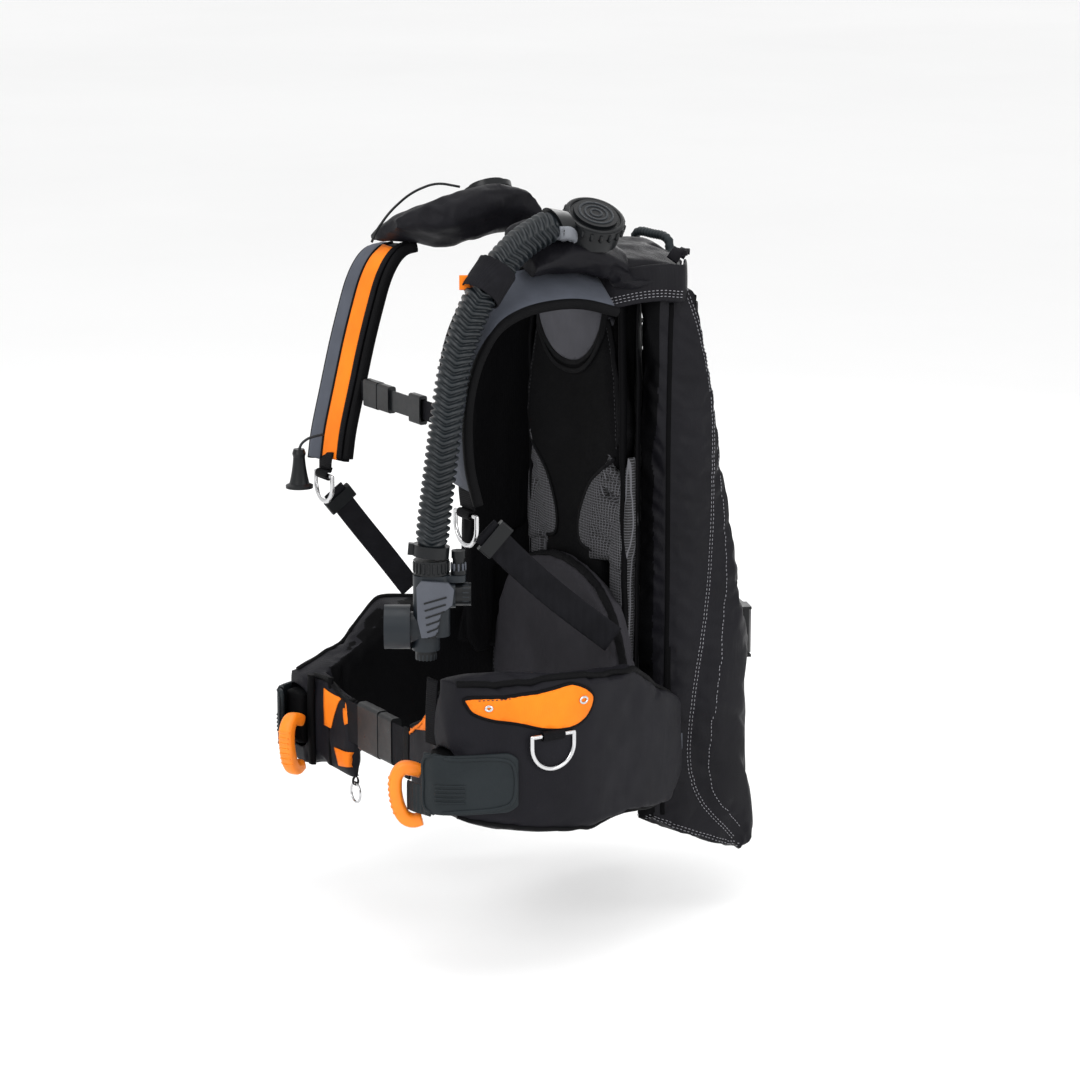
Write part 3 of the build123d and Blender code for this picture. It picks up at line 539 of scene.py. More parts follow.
class Skin:
    """The finished surface of one or more pieces, to lay seams, bindings and panels on."""

    def __init__(self, *objects):
        verts, faces = [], []
        for obj in objects:
            base = len(verts)
            verts += [obj.matrix_world @ v.co for v in obj.data.vertices]
            faces += [tuple(base + k for k in p.vertices) for p in obj.data.polygons]
        self.tree = BVHTree.FromPolygons(verts, faces)

    def on(self, p, lift=0.0):
        """Nearest surface point, lifted, and its normal."""
        spot, normal, _, _ = self.tree.find_nearest(p)
        return spot + normal * lift * MM, normal

    def hit(self, p, direction):
        """First surface point along a ray, or the nearest one where the ray misses."""
        spot, normal, _, _ = self.tree.ray_cast(p, direction)
        if spot is None:
            spot, normal, _, _ = self.tree.find_nearest(p)
        return spot, normal if normal.dot(direction) < 0 else -normal


stitch_sets = {}


def stitch(start, end, normal, radius, bag):
    """One stitch: a short tapered bead from start to end."""
    verts, faces = bag
    along = end - start
    side = normal.cross(along).normalized() * radius
    rise = normal * radius
    base = len(verts)
    verts.append(start)
    for t in (0.22, 0.78):
        centre = start + along * t + rise * 0.4
        verts.extend([centre + side, centre + rise, centre - side, centre - rise])
    verts.append(end)
    for k in range(4):
        k2 = (k + 1) % 4
        faces.append((base, base + 1 + k2, base + 1 + k))
        faces.append((base + 1 + k, base + 1 + k2, base + 5 + k2, base + 5 + k))
        faces.append((base + 5 + k, base + 5 + k2, base + 9))


def stitch_line(skin, points, rows=(0.0,), pitch=4.6, length=3.2, radius=0.42, colour="light", closed=False,
                body=HARNESS):
    """Rows of stitches beside a line on a skin."""
    bag = stitch_sets.setdefault((colour, body), ([], []))
    path = flow(points, pitch, closed)
    for p, t in zip(path, tangents(path, closed)):
        spot, normal = skin.on(p, 0.2)
        side = normal.cross(t).normalized()
        for row in rows:
            centre, n = skin.on(spot + side * row * MM, 0.25)
            half = t * length / 2 * MM
            stitch(centre - half, centre + half, n, radius * MM, bag)


def binding(name, skin, points, width, thick, mat=None, lift=0.3, closed=False, step=4.0,
            power=2.6, body=HARNESS):
    """Folded edge tape laid along a line on a skin."""
    path, across = [], []
    for p in flow(points, step, closed):
        spot, normal = skin.on(p, lift)
        path.append(spot)
        across.append(normal)
    if not closed:
        before, after = path[:1] + path[:-1], path[1:] + path[-1:]
        path = [(a + p * 2 + b) / 4 for a, p, b in zip(before, path, after)]
    mesh = skin_mesh(name, path, across, [oval(thick, width, power, 14)] * len(path), closed)
    return piece(name, mesh, mat or BINDING, body)


def inside(p, ring):
    """Whether a flat point lies in a closed outline."""
    crossings = False
    for (ax, ay), (bx, by) in zip(ring, ring[1:] + ring[:1]):
        if (ay > p[1]) != (by > p[1]) and p[0] < (bx - ax) * (p[1] - ay) / (by - ay) + ax:
            crossings = not crossings
    return crossings


def edge_gap(p, ring):
    """Distance from a flat point to the nearest outline point."""
    return min(hypot(p[0] - x, p[1] - y) for x, y in ring)


def patch(name, skin, points, direction, mat, thick=1.4, puffed=1.5, grid=6.0, spread=10.0, replaces=(),
          smooth_outline=True, body=HARNESS):
    """Sewn-on panel: an outline, seen along direction, laid on a skin and puffed between its edges."""
    direction = Vector(direction).normalized()
    flat_x = UP.cross(direction).normalized() if abs(direction.z) < 0.9 else Vector((1, 0, 0))
    flat_y = direction.cross(flat_x)
    corners = [mm(*p) for p in points]
    ring3 = flow(corners, 4.0, True) if smooth_outline else flow_straight(corners, 4.0)
    ring = [(p.dot(flat_x), p.dot(flat_y)) for p in ring3]
    base_depth = sum(p.dot(direction) for p in ring3) / len(ring3)
    cell = grid * MM
    xs, ys = [p[0] for p in ring], [p[1] for p in ring]
    inner = []
    for i in range(int((max(xs) - min(xs)) / cell) + 2):
        for j in range(int((max(ys) - min(ys)) / cell) + 2):
            spot = (min(xs) + i * cell, min(ys) + (j + 0.5 * (i % 2)) * cell)
            if inside(spot, ring) and edge_gap(spot, ring) > 0.45 * cell:
                inner.append(spot)
    flat = [Vector(p) for p in ring + inner]
    border = [(i, (i + 1) % len(ring)) for i in range(len(ring))]
    flat, _, faces, _, _, _ = delaunay_2d_cdt(flat, border, [], 1, 1e-6)
    verts = []
    for p in flat:
        origin = flat_x * p[0] + flat_y * p[1] + direction * (base_depth - 0.08)
        spot, normal = skin.hit(origin, direction)
        rise = puffed * (1 - exp(-edge_gap(p, ring) / (spread * MM)))
        verts.append(spot + normal * (0.4 + rise) * MM)
    mesh = new_mesh(name, verts, faces)
    holder = placed(name + ".shape", mesh)
    turn_outward(mesh)
    if mesh.polygons[0].normal.dot(direction) > 0:
        mesh.flip_normals()
    modify(holder, "SOLIDIFY", thickness=thick * MM, offset=0.6)
    mesh = holder.data
    bpy.data.objects.remove(holder)
    return piece(name, mesh, mat, body, replaces)


def flow_straight(corners, step):
    """Even points along a closed outline with straight sides."""
    even = []
    for a, b in zip(corners, corners[1:] + corners[:1]):
        count = max(1, round((b - a).length / (step * MM)))
        even += [a.lerp(b, k / count) for k in range(count)]
    return even


def mirror(points, sign):
    """Points on the wearer's left (+1) or right (-1)."""
    return [(sign * x, y, z) for x, y, z in points]


# ------------------------------------------------------------
# Corrugated hose, on the same route as its CAD tube
HOSE_ROUTE = [(116, -220, 485), (118, -248, 475), (122, -275.5, 458), (127, -302, 434), (132, -327, 399),
              (136, -347, 354), (138, -358, 300), (137.5, -366, 243), (136, -373, 191), (135.5, -375.5, 165)]
HOSE_LENGTH, HOSE_D = 0.3818, 0.035

route = bpy.data.curves.new("hose_route", "CURVE")
route.dimensions = "3D"
route.resolution_u = 24
line = route.splines.new("NURBS")
line.points.add(len(HOSE_ROUTE) - 1)
for knot, place_mm in zip(line.points, HOSE_ROUTE):
    knot.co = mm(*place_mm).to_4d()
    knot.co[3] = 1
line.order_u = 3
line.use_endpoint_u = True
route_object = placed("hose_route", route)
HOSE_LINE = [v.co.copy() for v in bpy.data.meshes.new_from_object(route_object).vertices]
bpy.data.objects.remove(route_object)

RIB_PITCH, RIB_HEIGHT, RIB_SLANT = 7.4, 3.4, 7.5
AROUND = 48
hose_path = flow(HOSE_LINE, 0.8)
hose_sections = []
for i in range(len(hose_path)):
    along = i * 0.8
    ends = min(1.0, min(along, (len(hose_path) - 1 - i) * 0.8) / 8)
    ring = []
    for k in range(AROUND):
        a = 2 * pi * k / AROUND
        phase = (along + RIB_SLANT * abs(sin(a))) / RIB_PITCH
        ridge = min(1.0, max(0.0, 0.55 + 0.95 * cos(2 * pi * phase)))
        r = HOSE_D / 2 - RIB_HEIGHT * MM * (1 - ridge * ends)
        ring.append((r * cos(a), r * sin(a)))
    hose_sections.append(ring)
hose = piece("corrugated-hose", skin_mesh("hose", hose_path, TOWARD_VIEW, hose_sections), HOSE_BLACK,
             replaces=("corrugated_hose",))

# ------------------------------------------------------------
# Air cell
# seams of one side wing, as they run down its outer face
WING_SEAM = [(122, -58, 404), (126, -42, 361), (127, -25, 290), (127, -22, 200), (126, -30, 63),
             (125, -46, -47), (124, -50, -115), (126, -36, -163), (122, 8, -212)]
WING_OUTER_SEAM = [(127, -12, 250), (126, -6, 120), (126, -14, 0), (126, -26, -90), (126, -22, -150),
                   (122, 16, -200)]
WING_FRONT = [(116, -73, 392), (115, -75, 250), (115, -75, 60), (114, -76, -80), (113, -78, -178)]
WING_HEM = [(90, -100, -176), (116, -70, -190), (126, -30, -206), (122, 14, -224)]

wings = {}
for side, sign in (("left", 1), ("right", -1)):
    wing = soft(f"air_cell_{side}", SHELL, voxel=5, inset=3.0, pressure=4.0, cap=9,
                seams=[mirror(WING_SEAM, sign), mirror(WING_FRONT, sign)], seam_width=5, folds=2.2,
                fold_scale=(14, 14, 5), seed=3 + sign, looseness=-0.04)
    # painted shade: the wing's forward part and its inward-facing faces take the darker shell
    paint(wing, SHELL_SHADED, lambda x, y, z, n, s=sign: y < -84 or n.x * s < -0.2)
    skin = Skin(wing)
    wings[sign] = skin
    stitch_line(skin, mirror(WING_SEAM, sign), rows=(-1.6, 1.6))
    stitch_line(skin, mirror(WING_OUTER_SEAM, sign))
    stitch_line(skin, mirror(WING_HEM, sign), rows=(0, 3.4))
    binding(f"wing-rib-{side}", skin, mirror(WING_FRONT, sign), 5, 2.2, SHELL_SHADED)

center = soft("air_cell_center", SHELL_SHADED, voxel=6, inset=2, pressure=2, cap=6, folds=1.5,
              fold_scale=(12, 12, 8), seed=9)
collar = soft("air_cell_collar", SHELL, voxel=5, inset=2.5, pressure=4, cap=10, folds=3.2,
              fold_scale=(26, 18, 22), seed=5, looseness=-0.06)
collar_skin = Skin(collar)
HEM = [(-84, -141, 410), (-40, -142, 395), (0, -142, 393), (40, -142, 394), (84, -141, 406)]
stitch_line(collar_skin, HEM, rows=(-4, 0, 4))

# ------------------------------------------------------------
# Back pad
back = soft("back_pad", BACK_BLACK, voxel=5, inset=2, pressure=3, cap=6, folds=0.8,
            fold_scale=(18, 18, 9), seed=2)
back_skin = Skin(back)
FORWARD = Vector((0, -1, 0))
PANEL_EDGE = [(-72, -130, 386), (-62, -130, 350), (-34, -130, 324), (0, -130, 316), (34, -130, 324),
              (62, -130, 350), (72, -130, 386)]
top_panel = patch("top-panel-cloth", back_skin, PANEL_EDGE, -FORWARD, PANEL_GREY, puffed=1.2,
                  replaces=("top_panel",))
for step, offset in enumerate((0, 9)):
    edge = [(x * (1 + offset / 260), y, z - offset * (0.6 if abs(x) > 60 else 1)) for x, y, z in PANEL_EDGE]
    binding(f"panel-binding-{step}", back_skin, edge, 5.5, 3.2, lift=1.2)
BACK_EDGE = [(74, -128, 372), (84, -128, 345), (90, -128, 318), (97, -128, 275), (100, -128, 236)]
for side, sign in (("left", 1), ("right", -1)):
    binding(f"back-edge-{side}", back_skin, mirror(BACK_EDGE, sign), 6, 4, lift=0.4)
    stitch_line(back_skin, mirror([(x - 6, y, z) for x, y, z in BACK_EDGE], sign), colour="dark")

mesh_pads = soft("mesh_panels", NETTING, voxel=4, inset=1, pressure=2, cap=3, folds=0.5,
                 seed=4)

lumbar = soft("lumbar_pad", LUMBAR_GREY, voxel=5, inset=2, pressure=4, cap=7, folds=1.0,
              fold_scale=(20, 20, 14), seed=6)
lumbar_skin = Skin(lumbar)
ARCH = [(-146, -146, -62), (-142, -146, 0), (-115, -146, 60), (-61, -146, 97), (0, -146, 107), (61, -146, 97),
        (115, -146, 60), (142, -146, 0), (146, -146, -62)]
binding("lumbar-binding", lumbar_skin, ARCH, 9, 4, lift=0.2)
stitch_line(lumbar_skin, [(x * 0.95, y, z * 0.95 - 2) for x, y, z in ARCH], colour="dark")

# ------------------------------------------------------------
# Shoulder straps: padded strips with bound edges
STRAPS = {
    "left": ([(-150, 388), (-190, 399), (-225, 401), (-262, 396), (-292, 382), (-310, 360), (-323, 330),
              (-330, 290), (-328, 240), (-318, 198)], 134, Vector((-58, 0, 34))),
    "right": ([(-276, 430), (-290, 427), (-302, 416), (-313, 396), (-323, 366), (-334, 328), (-346, 280),
               (-357, 235), (-362, 203)], -172, Vector((66, 16, 8))),
}
STRAP_T = 11


def strap_line(side, share, lift=0.0):
    """Points along a strap, at a share of its width from the outer edge, lifted off its outer face."""
    profile, outer_x, lean = STRAPS[side]
    line_points = []
    for i, (y, z) in enumerate(profile):
        (ya, za), (yb, zb) = profile[max(i - 1, 0)], profile[min(i + 1, len(profile) - 1)]
        length = hypot(yb - ya, zb - za)
        out_y, out_z = (zb - za) / length, -(yb - ya) / length
        p = Vector((outer_x, y, z)) + lean * share
        line_points.append((p.x, p.y + out_y * lift, p.z + out_z * lift))
    return line_points


def strap_strip(name, side, share, width, thick, mat, slot, lift=0.0, start=0, replaces=(), power=4.0,
                wave=0.0):
    """Strip of a strap, centred on a share of its width."""
    lean = STRAPS[side][2].normalized()
    return band(name, strap_line(side, share, lift)[start:], lean, width, thick, mat, slot, power=power,
                replaces=replaces, wave=wave)


left_width = STRAPS["left"][2].length
right_width = STRAPS["right"][2].length
left_pad = strap_strip("strap-left-pad", "left", 0.5, left_width - 8, STRAP_T - 1, PAD_GREY, "pad_fabric",
                       replaces=("shoulder_strap_left",), wave=1.2, power=5)
strap_strip("strap-left-outer-edge", "left", 0.05, 9, STRAP_T, BINDING, "webbing", power=2.6)
strap_strip("strap-left-inner-edge", "left", 0.95, 9, STRAP_T, BINDING, "webbing", power=2.6)

right_pad = strap_strip("strap-right-pad", "right", 0.5, right_width - 8, STRAP_T - 1, SHELL_SHADED,
                        "pad_fabric", replaces=("shoulder_strap_right",), wave=1.0, power=5)
strap_strip("strap-right-slate", "right", 0.22, 22, 5, PAD_GREY, "pad_fabric", lift=4.2, power=3)
strap_strip("strap-right-outer-edge", "right", 0.05, 7, STRAP_T, BINDING, "webbing", power=2.6)
strap_strip("strap-right-inner-edge", "right", 0.95, 8, STRAP_T + 1, BINDING, "webbing", power=2.6)
strap_strip("strap-right-orange", "right", 0.60, 24, 3.2, ORANGE_CLOTH, "orange_fabric", lift=5.6, start=1,
            power=3.4, replaces=("shoulder_strap_trim",))
strap_strip("strap-right-divider", "right", 0.405, 3.4, 4, BINDING, "webbing", lift=5.6, power=2.4)
strap_strip("strap-right-web", "right", 0.845, 8, 2.6, WEB_FLAT, "webbing", lift=6.2)

# ------------------------------------------------------------
# Waist lobes
LOBE_TOP = [(140, -85, -20), (176, -130, 4), (200, -180, 25), (216, -240, 31), (216, -320, 32),
            (192, -380, 31)]
LOBE_FOOT = [(146, -92, -140), (182, -145, -144), (207, -215, -144), (219, -270, -137), (210, -325, -128),
             (190, -378, -114)]
lobes = {}
for side, sign in (("left", 1), ("right", -1)):
    lobe = soft(f"waist_lobe_{side}", SHELL_FLAT, voxel=5, inset=2.5, pressure=4, cap=8,
                folds=1.6, fold_scale=(22, 16, 14), seed=7 + sign)
    # painted shade: the lobe's inward-facing faces, except near its front tip, take the darker shell
    paint(lobe, SHELL_SHADED, lambda x, y, z, n, s=sign: n.x * s < -0.25 and y > -350)
    lobes[sign] = Skin(lobe)
near_lobe, far_lobe = lobes[1], lobes[-1]
binding("lobe-left-top", near_lobe, LOBE_TOP, 7, 7)
binding("lobe-left-foot", near_lobe, LOBE_FOOT, 5, 5)

SIDE_PANEL = [(218, -231, 4), (219, -240, 13), (219, -253, 19), (218, -262, 20), (216, -290, 16),
              (215, -330, 15), (206, -358, 15), (198, -372, 14), (198, -369, 6), (199, -362, -2),
              (205, -345, -9), (214, -318, -15), (218, -290, -23), (219, -262, -25), (219, -244, -19),
              (218, -234, -8)]
side_panel = patch("waist-panel", near_lobe, SIDE_PANEL, (-1, 0.18, 0), ORANGE_CLOTH,
                   puffed=2.0, replaces=("waist_trim",))

# ------------------------------------------------------------
# Collar: hem skirt, gussets and folded tabs
SKIRT = [(78, -143, 404), (98, -136, 408), (113, -112, 414), (122, -88, 416), (126, -66, 414),
         (110, -52, 418)]
for side, sign in (("left", 1), ("right", -1)):
    skirt = band(f"collar-skirt-{side}", mirror(SKIRT, sign), UP, 40, 5, SHELL, "shell_fabric", power=3,
                 step=5, wave=1.5)
    skirt_skin = Skin(skirt)
    outer = [(x + 3, y - 3, z - 12) for x, y, z in SKIRT[:5]]
    stitch_line(skirt_skin, mirror(outer, sign), rows=(-3.2, 0, 3.2))
    band(f"gusset-{side}", mirror([(88, -96, 404), (91, -98, 300), (91, -98, 120), (88, -98, -40),
                                   (88, -98, -164)], sign), Vector((0.8, -0.6 * sign, 0)), 42, 3,
         SHELL_SHADED, "shell_fabric", step=8, wave=1.5)
    fold = [(90, -119, 396), (96, -122, 300), (98, -120, 180), (99, -118, 60), (98, -116, -40)]
    band(f"inner-fold-{side}", mirror(fold, sign), Vector((0.6, -0.8, 0)), 15, 7, SHELL_SHADED,
         "shell_fabric", power=2.2, step=6, wave=2.0)
band("collar-tab", [(110, -70, 436), (114, -62, 448), (108, -56, 440)], Vector((0.5, 0.87, 0)), 13, 2,
     SHELL, "shell_fabric", step=2)
band("collar-tab-rear", [(98, -52, 437), (102, -48, 446), (96, -44, 440)], Vector((0.7, 0.7, 0)), 10, 2,
     SHELL, "shell_fabric", step=2)

# ------------------------------------------------------------
# Webbing, in place of the flat CAD strips
band("web-shoulder-left", [(112, -300, 168), (120, -262, 128), (131, -220, 88), (147, -163, 40)],
     Vector((-0.15, -0.58, -0.72)), 30, 2.2, WEB_SIDE, "webbing", replaces=("shoulder_webbing_left",))
band("web-shoulder-right", [(-137, -352, 172), (-147, -313, 126), (-157, -277, 85), (-168, -240, 42)],
     Vector((-0.15, -0.62, -0.7)), 25, 2.2, WEB_SIDE, "webbing", replaces=("shoulder_webbing_right",))
band("web-sternum", [(20, -329.6, 286), (45, -329.2, 286), (75, -329.6, 286)], UP, 22, 1.8, WEB_SIDE,
     "webbing", replaces=("sternum_webbing",))
band("web-sternum-anchor", [(-104.5, -331, 286), (-98, -331, 286), (-92, -331, 286)], UP, 22, 2, WEB_SIDE,
     "webbing")
band("web-waist-left", [(32, -368.7, -73), (60, -368.9, -73), (97, -368.7, -73)], UP, 46, 1.6, WEB_SIDE,
     "webbing", body="waist_plug", replaces=("waist_webbing_left",))
band("web-waist-right", [(-47, -368.7, -73), (-70, -368.9, -73), (-98, -368.7, -73)], UP, 46, 1.6, WEB_SIDE,
     "webbing", replaces=("waist_webbing_right",))


def level_circle(radius, z, count=24):
    """Points of a level circle round the cylinder's axis."""
    return [(radius * cos(2 * pi * k / count), radius * sin(2 * pi * k / count), z) for k in range(count)]


band("tank-band-web", level_circle(71.2, 0), UP, 50, 2.4, WEB_FLAT, "webbing", closed=True,
     replaces=("tank_band",))
tail_end = [(74.2 * cos(radians(a)), 74.2 * sin(radians(a)), 0) for a in (118, 132, 146, 160, 174)]
band("tank-band-tail", tail_end, UP, 48, 2.0, WEB_FLAT, "webbing")
band("valve-loop", level_circle(27.7, 362), UP, 20, 2.4, WEB_FLAT, "webbing", closed=True,
     replaces=("valve_strap",), step=3)
band("valve-strap-web", [(0, -28, 354), (0, -52, 354), (0, -72, 352), (0, -76.8, 345), (0, -76.8, 331)],
     Vector((1, 0, 0)), 20, 2.4, WEB_FLAT, "webbing", step=3)
HANDLE = [(38, -65, 334), (38, -58, 352), (38, -34, 392), (37, -27, 436), (28, -26, 448), (0, -26, 449),
          (-28, -26, 448), (-37, -27, 436), (-38, -34, 392), (-38, -58, 352), (-38, -65, 334)]
handle_path = flow(HANDLE, 2.0)
handle_sizes = [9.4 + 0.9 * cos(2 * pi * i * 2.0 / 6) for i in range(len(handle_path))]
handle_rings = [oval(size, size, 2.2, 16) for size in handle_sizes]
piece("carry-handle-grip", skin_mesh("handle", handle_path, Vector((0, 1, 0.2)), handle_rings),
      SLATE_RUBBER, replaces=("carry_handle",))

# webbing loops that hold the rings: round the bar, then back to the strap
LOOPS = (("left-shoulder", (105, -318, 186), (1, 0, 0), (0, 1, 0), 26),
         ("right-shoulder", (-134, -364, 191), (1, 0, 0), (0, 1, 0), 26),
         ("left-waist", (224.5, -282, -30), (0, 1, 0), (-1, 0, 0), 26),
         ("right-waist", (-224.5, -282, -30), (0, 1, 0), (1, 0, 0), 26))
for name, centre, width_axis, back_way, width in LOOPS:
    back_way = Vector(back_way)
    around = []
    for a in (-60, -100, -140, -180, -220, -260, -300):
        offset = back_way * cos(radians(a)) * 4.1 + UP * sin(radians(a)) * 4.6
        around.append(mm(*centre) + offset * MM)
    tail = mm(*centre) + (back_way * 4 + UP * 9) * MM
    path = [tail] + around[::-1]
    band(f"loop-{name}", path, Vector(width_axis), width, 1.8, WEB_FLAT, "webbing", step=1.5,
         replaces=("ring_loops",) if name == "left-shoulder" else ())
band("loop-split-ring", [(-74, -360, -138), (-74, -362.6, -141), (-74, -363, -146), (-74, -360, -148.6),
                         (-74, -357, -146), (-74, -357.4, -141), (-74, -360, -138)], Vector((1, 0, 0)), 4,
     1.2, WEB_FLAT, "webbing", step=1.2)
# strap ends that carry the shoulder rings, and the knob's cord
band("ring-hanger-left", [(106, -318.5, 222), (105.5, -318, 208), (105, -316, 192)], Vector((1, 0, 0)), 30,
     3, WEB_FLAT, "webbing", step=3)
band("ring-hanger-right", [(-137, -358, 214), (-135.5, -361, 206), (-134.5, -362, 197)], Vector((1, 0, 0)),
     27, 3, WEB_FLAT, "webbing", step=3)
band("knob-cord", [(-131, -366, 236), (-130.5, -382, 234), (-130, -392, 229), (-130, -396, 222)],
     Vector((1, 0, 0)), 3, 3, HOSE_BLACK, "hose_rubber", power=2, step=1.5)

# ------------------------------------------------------------
# Waist front: orange facings, pleats, belt keeper, eyelets


def lobe_patch(name, skin, points, mat, puffed=0.8, smooth_outline=False):
    """Facing on a front flap, seen from ahead."""
    return patch(name, skin, points, (0, 1, 0), mat, puffed=puffed, thick=1.0, grid=5,
                 smooth_outline=smooth_outline, spread=5)


lobe_patch("flap-left-orange", near_lobe, [(58, -367, -50), (120, -367, -38), (120, -367, -4),
                                           (98, -367, -14), (78, -367, -28), (62, -367, -42)], ORANGE_CLOTH)
lobe_patch("flap-right-low", far_lobe, [(-62, -367, -108), (-62, -367, -124), (-92, -367, -129),
                                        (-100, -367, -110)], ORANGE_CLOTH)
lobe_patch("flap-right-high", far_lobe, [(-88, -367, -52), (-108, -367, -90), (-124, -367, -90),
                                         (-124, -367, -48)], ORANGE_CLOTH)
lobe_patch("flap-right-inner", far_lobe, [(-64, -367, -56), (-64, -367, -76), (-76, -367, -62),
                                          (-78, -367, -54)], ORANGE_CLOTH)
binding("flap-left-edge", near_lobe, [(64, -365, -43), (92, -365, -29), (116, -366, -4), (150, -374, 22)],
        7, 5)
binding("flap-right-edge", far_lobe, [(-62, -365, -52), (-104, -366, -42), (-150, -374, -28)], 7, 5)
binding("lobe-right-top", far_lobe, mirror([(176, -165, 26), (212, -262, 22), (205, -312, -14),
                                            (196, -345, -30), (186, -378, -32)], -1), 7, 6)
band("belt-keeper-left", [(150, -383, 26), (147, -383.5, -10), (146, -383.5, -44)], Vector((1, 0.2, 0)), 17,
     2.4, WEB_FLAT, "webbing", step=4)
band("belt-keeper-right", [(-114, -369, -34), (-114, -369.5, -80), (-114, -369, -134)], Vector((1, 0, 0)),
     9, 5, SHELL_SHADED, "shell_fabric", step=4, power=2.4)
band("pleat-right", [(-142, -379, -36), (-142, -380, -80), (-142, -379, -138)], Vector((1, 0, 0)), 12, 7,
     SHELL_SHADED, "shell_fabric", step=4, power=2.4)
band("buckle-flap-trim", [(66, -369, -48), (66, -370, -73), (66, -369, -104)], Vector((1, 0, 0)), 12, 3,
     BINDING, "webbing", step=4)

PANEL_SKIN = Skin(side_panel)
binding("waist-panel-binding", near_lobe, SIDE_PANEL, 4.5, 3.4, closed=True, lift=0.2)
stitch_line(PANEL_SKIN, [(x, y * 0.985 - 4.2, z * 0.82) for x, y, z in SIDE_PANEL], closed=True,
            colour="dark")


def eyelet(name, centre, size):
    """Metal ring pressed into the waist panel."""
    spot, normal = PANEL_SKIN.hit(mm(*centre) + Vector((0.05, 0, 0)), Vector((-1, 0, 0)))
    side = normal.cross(UP).normalized()
    rise = side.cross(normal)
    centre_line = spot + normal * 0.8 * MM
    angles = [2 * pi * k / 16 for k in range(16)]
    ring = [centre_line + (side * cos(a) + rise * sin(a) * 0.7) * size * MM for a in angles]
    path = flow(ring, 1.0, True)
    mesh = skin_mesh(name, path, normal, [oval(1.8, 2.6, 2, 8)] * len(path), True)
    return piece(name, mesh, STAINLESS)


eyelet("eyelet-rear", (222, -246, 3), 4.6)
eyelet("eyelet-front", (202, -350, 4), 3.4)

# weight pouches: soft blocks that show at the pocket's mouth
for side in ("left", "right"):
    body = f"{side}_weight_pocket"
    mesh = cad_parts[f"weight_pouch_{side}"].data.copy()
    pouch = piece(f"weight-pouch-{side}-soft", mesh, SHELL_SHADED, body,
                  (f"weight_pouch_{side}",))
    rework(pouch, 4, 4)
    wrinkle(pouch, 0.8, (30, 30, 20), 12)
    pouch.data.materials.append(SHELL_SHADED)

# ------------------------------------------------------------
# Pouch covers and handles
COVER = [(217.5, -320), (209, -350), (198.5, -380), (186, -397), (168, -403)]
POUCH_DROP = {1: 0.0, -1: -12.0}
for side, sign in (("left", 1), ("right", -1)):
    body = f"{side}_weight_pocket"
    low, high = -109 + POUCH_DROP[sign], -45 + POUCH_DROP[sign]
    middle = (low + high) / 2
    path = flow([(sign * x, y, middle) for x, y in COVER], 3)
    sections = []
    for i in range(len(path)):
        ends = min(i * 3, 14) / 14
        reach = 1 - 0.22 * (1 - ends) ** 2
        sections.append(oval((high - low) * reach, 5.4, 5.5, 28))
    cover = piece(f"pouch-cover-{side}-shell", skin_mesh("cover", path, UP, sections), SLATE_RUBBER,
                  body, (f"pouch_cover_{side}",))
    cover_skin = Skin(cover)
    rim = [(sign * (x + 2.6), y - 1.2, z) for x, y, z in
           ((212, -338, low + 6), (198, -381, low + 4), (170, -404, low + 4), (167, -405, middle),
            (170, -404, high - 4), (198, -381, high - 4), (212, -338, high - 6),
            (216, -324, middle + 16), (216, -324, middle - 16))]
    binding(f"pouch-cover-rim-{side}", cover_skin, rim, 3.6, 2.6, SLATE_RUBBER,
            closed=True, body=body)
    for k in range(5):
        rib = [(sign * x, y, low + 14 + 4.5 * k) for x, y in ((203, -374), (195, -389), (185, -400))]
        binding(f"pouch-cover-rib-{side}-{k}", cover_skin, rib, 2.2, 1.8, SLATE_RUBBER,
                step=2, body=body)
    strap = ((176, -401), (168, -403), (153, -407), (141, -408))
    strap_path = flow([(sign * x, y, -97 + POUCH_DROP[sign]) for x, y in strap], 1.5)
    strap_rings = [oval(32, 3.0 + 0.8 * cos(2 * pi * i * 1.5 / 6), 5, 20) for i in range(len(strap_path))]
    piece(f"pouch-strap-{side}", skin_mesh("strap", strap_path, UP, strap_rings), SLATE_RUBBER,
          body)
    facing = Vector((sign * sin(VIEW_DIR), -cos(VIEW_DIR), 0))
    across = facing.cross(UP) * -1
    centre = mm(sign * 135, -406, -98 + POUCH_DROP[sign])
    hook = [(15, 24), (7, 27), (-4, 28), (-11, 20), (-12.5, 8), (-11, -6), (-7.5, -18), (-2, -26), (6, -29),
            (15, -27)]
    hook_path = flow([centre + (across * sign * u + UP * v) * MM for u, v in hook], 2)
    rings = []
    for i in range(len(hook_path)):
        share = i / (len(hook_path) - 1)
        swell_by = 1 - 0.25 * abs(2 * share - 1) ** 3
        rings.append(oval(17 * swell_by, (18 - 4 * sin(pi * share)) * swell_by, 3.0, 20))
    handle = piece(f"pouch-handle-{side}-grip", skin_mesh("hook", hook_path, facing, rings), HARD_ORANGE,
                   body, (f"pouch_handle_{side}",))
    handle_skin = Skin(handle)
    for k in range(7):
        v = 17 - 6 * k
        u = -19 + 0.014 * (v - 4) ** 2
        rib = [centre + (across * sign * (u + 1) + UP * v + facing * w) * MM for w in (-6, 0, 6)]
        binding(f"pouch-handle-rib-{side}-{k}", handle_skin, rib, 1.8, 1.6, HARD_ORANGE,
                step=1.5, body=body)

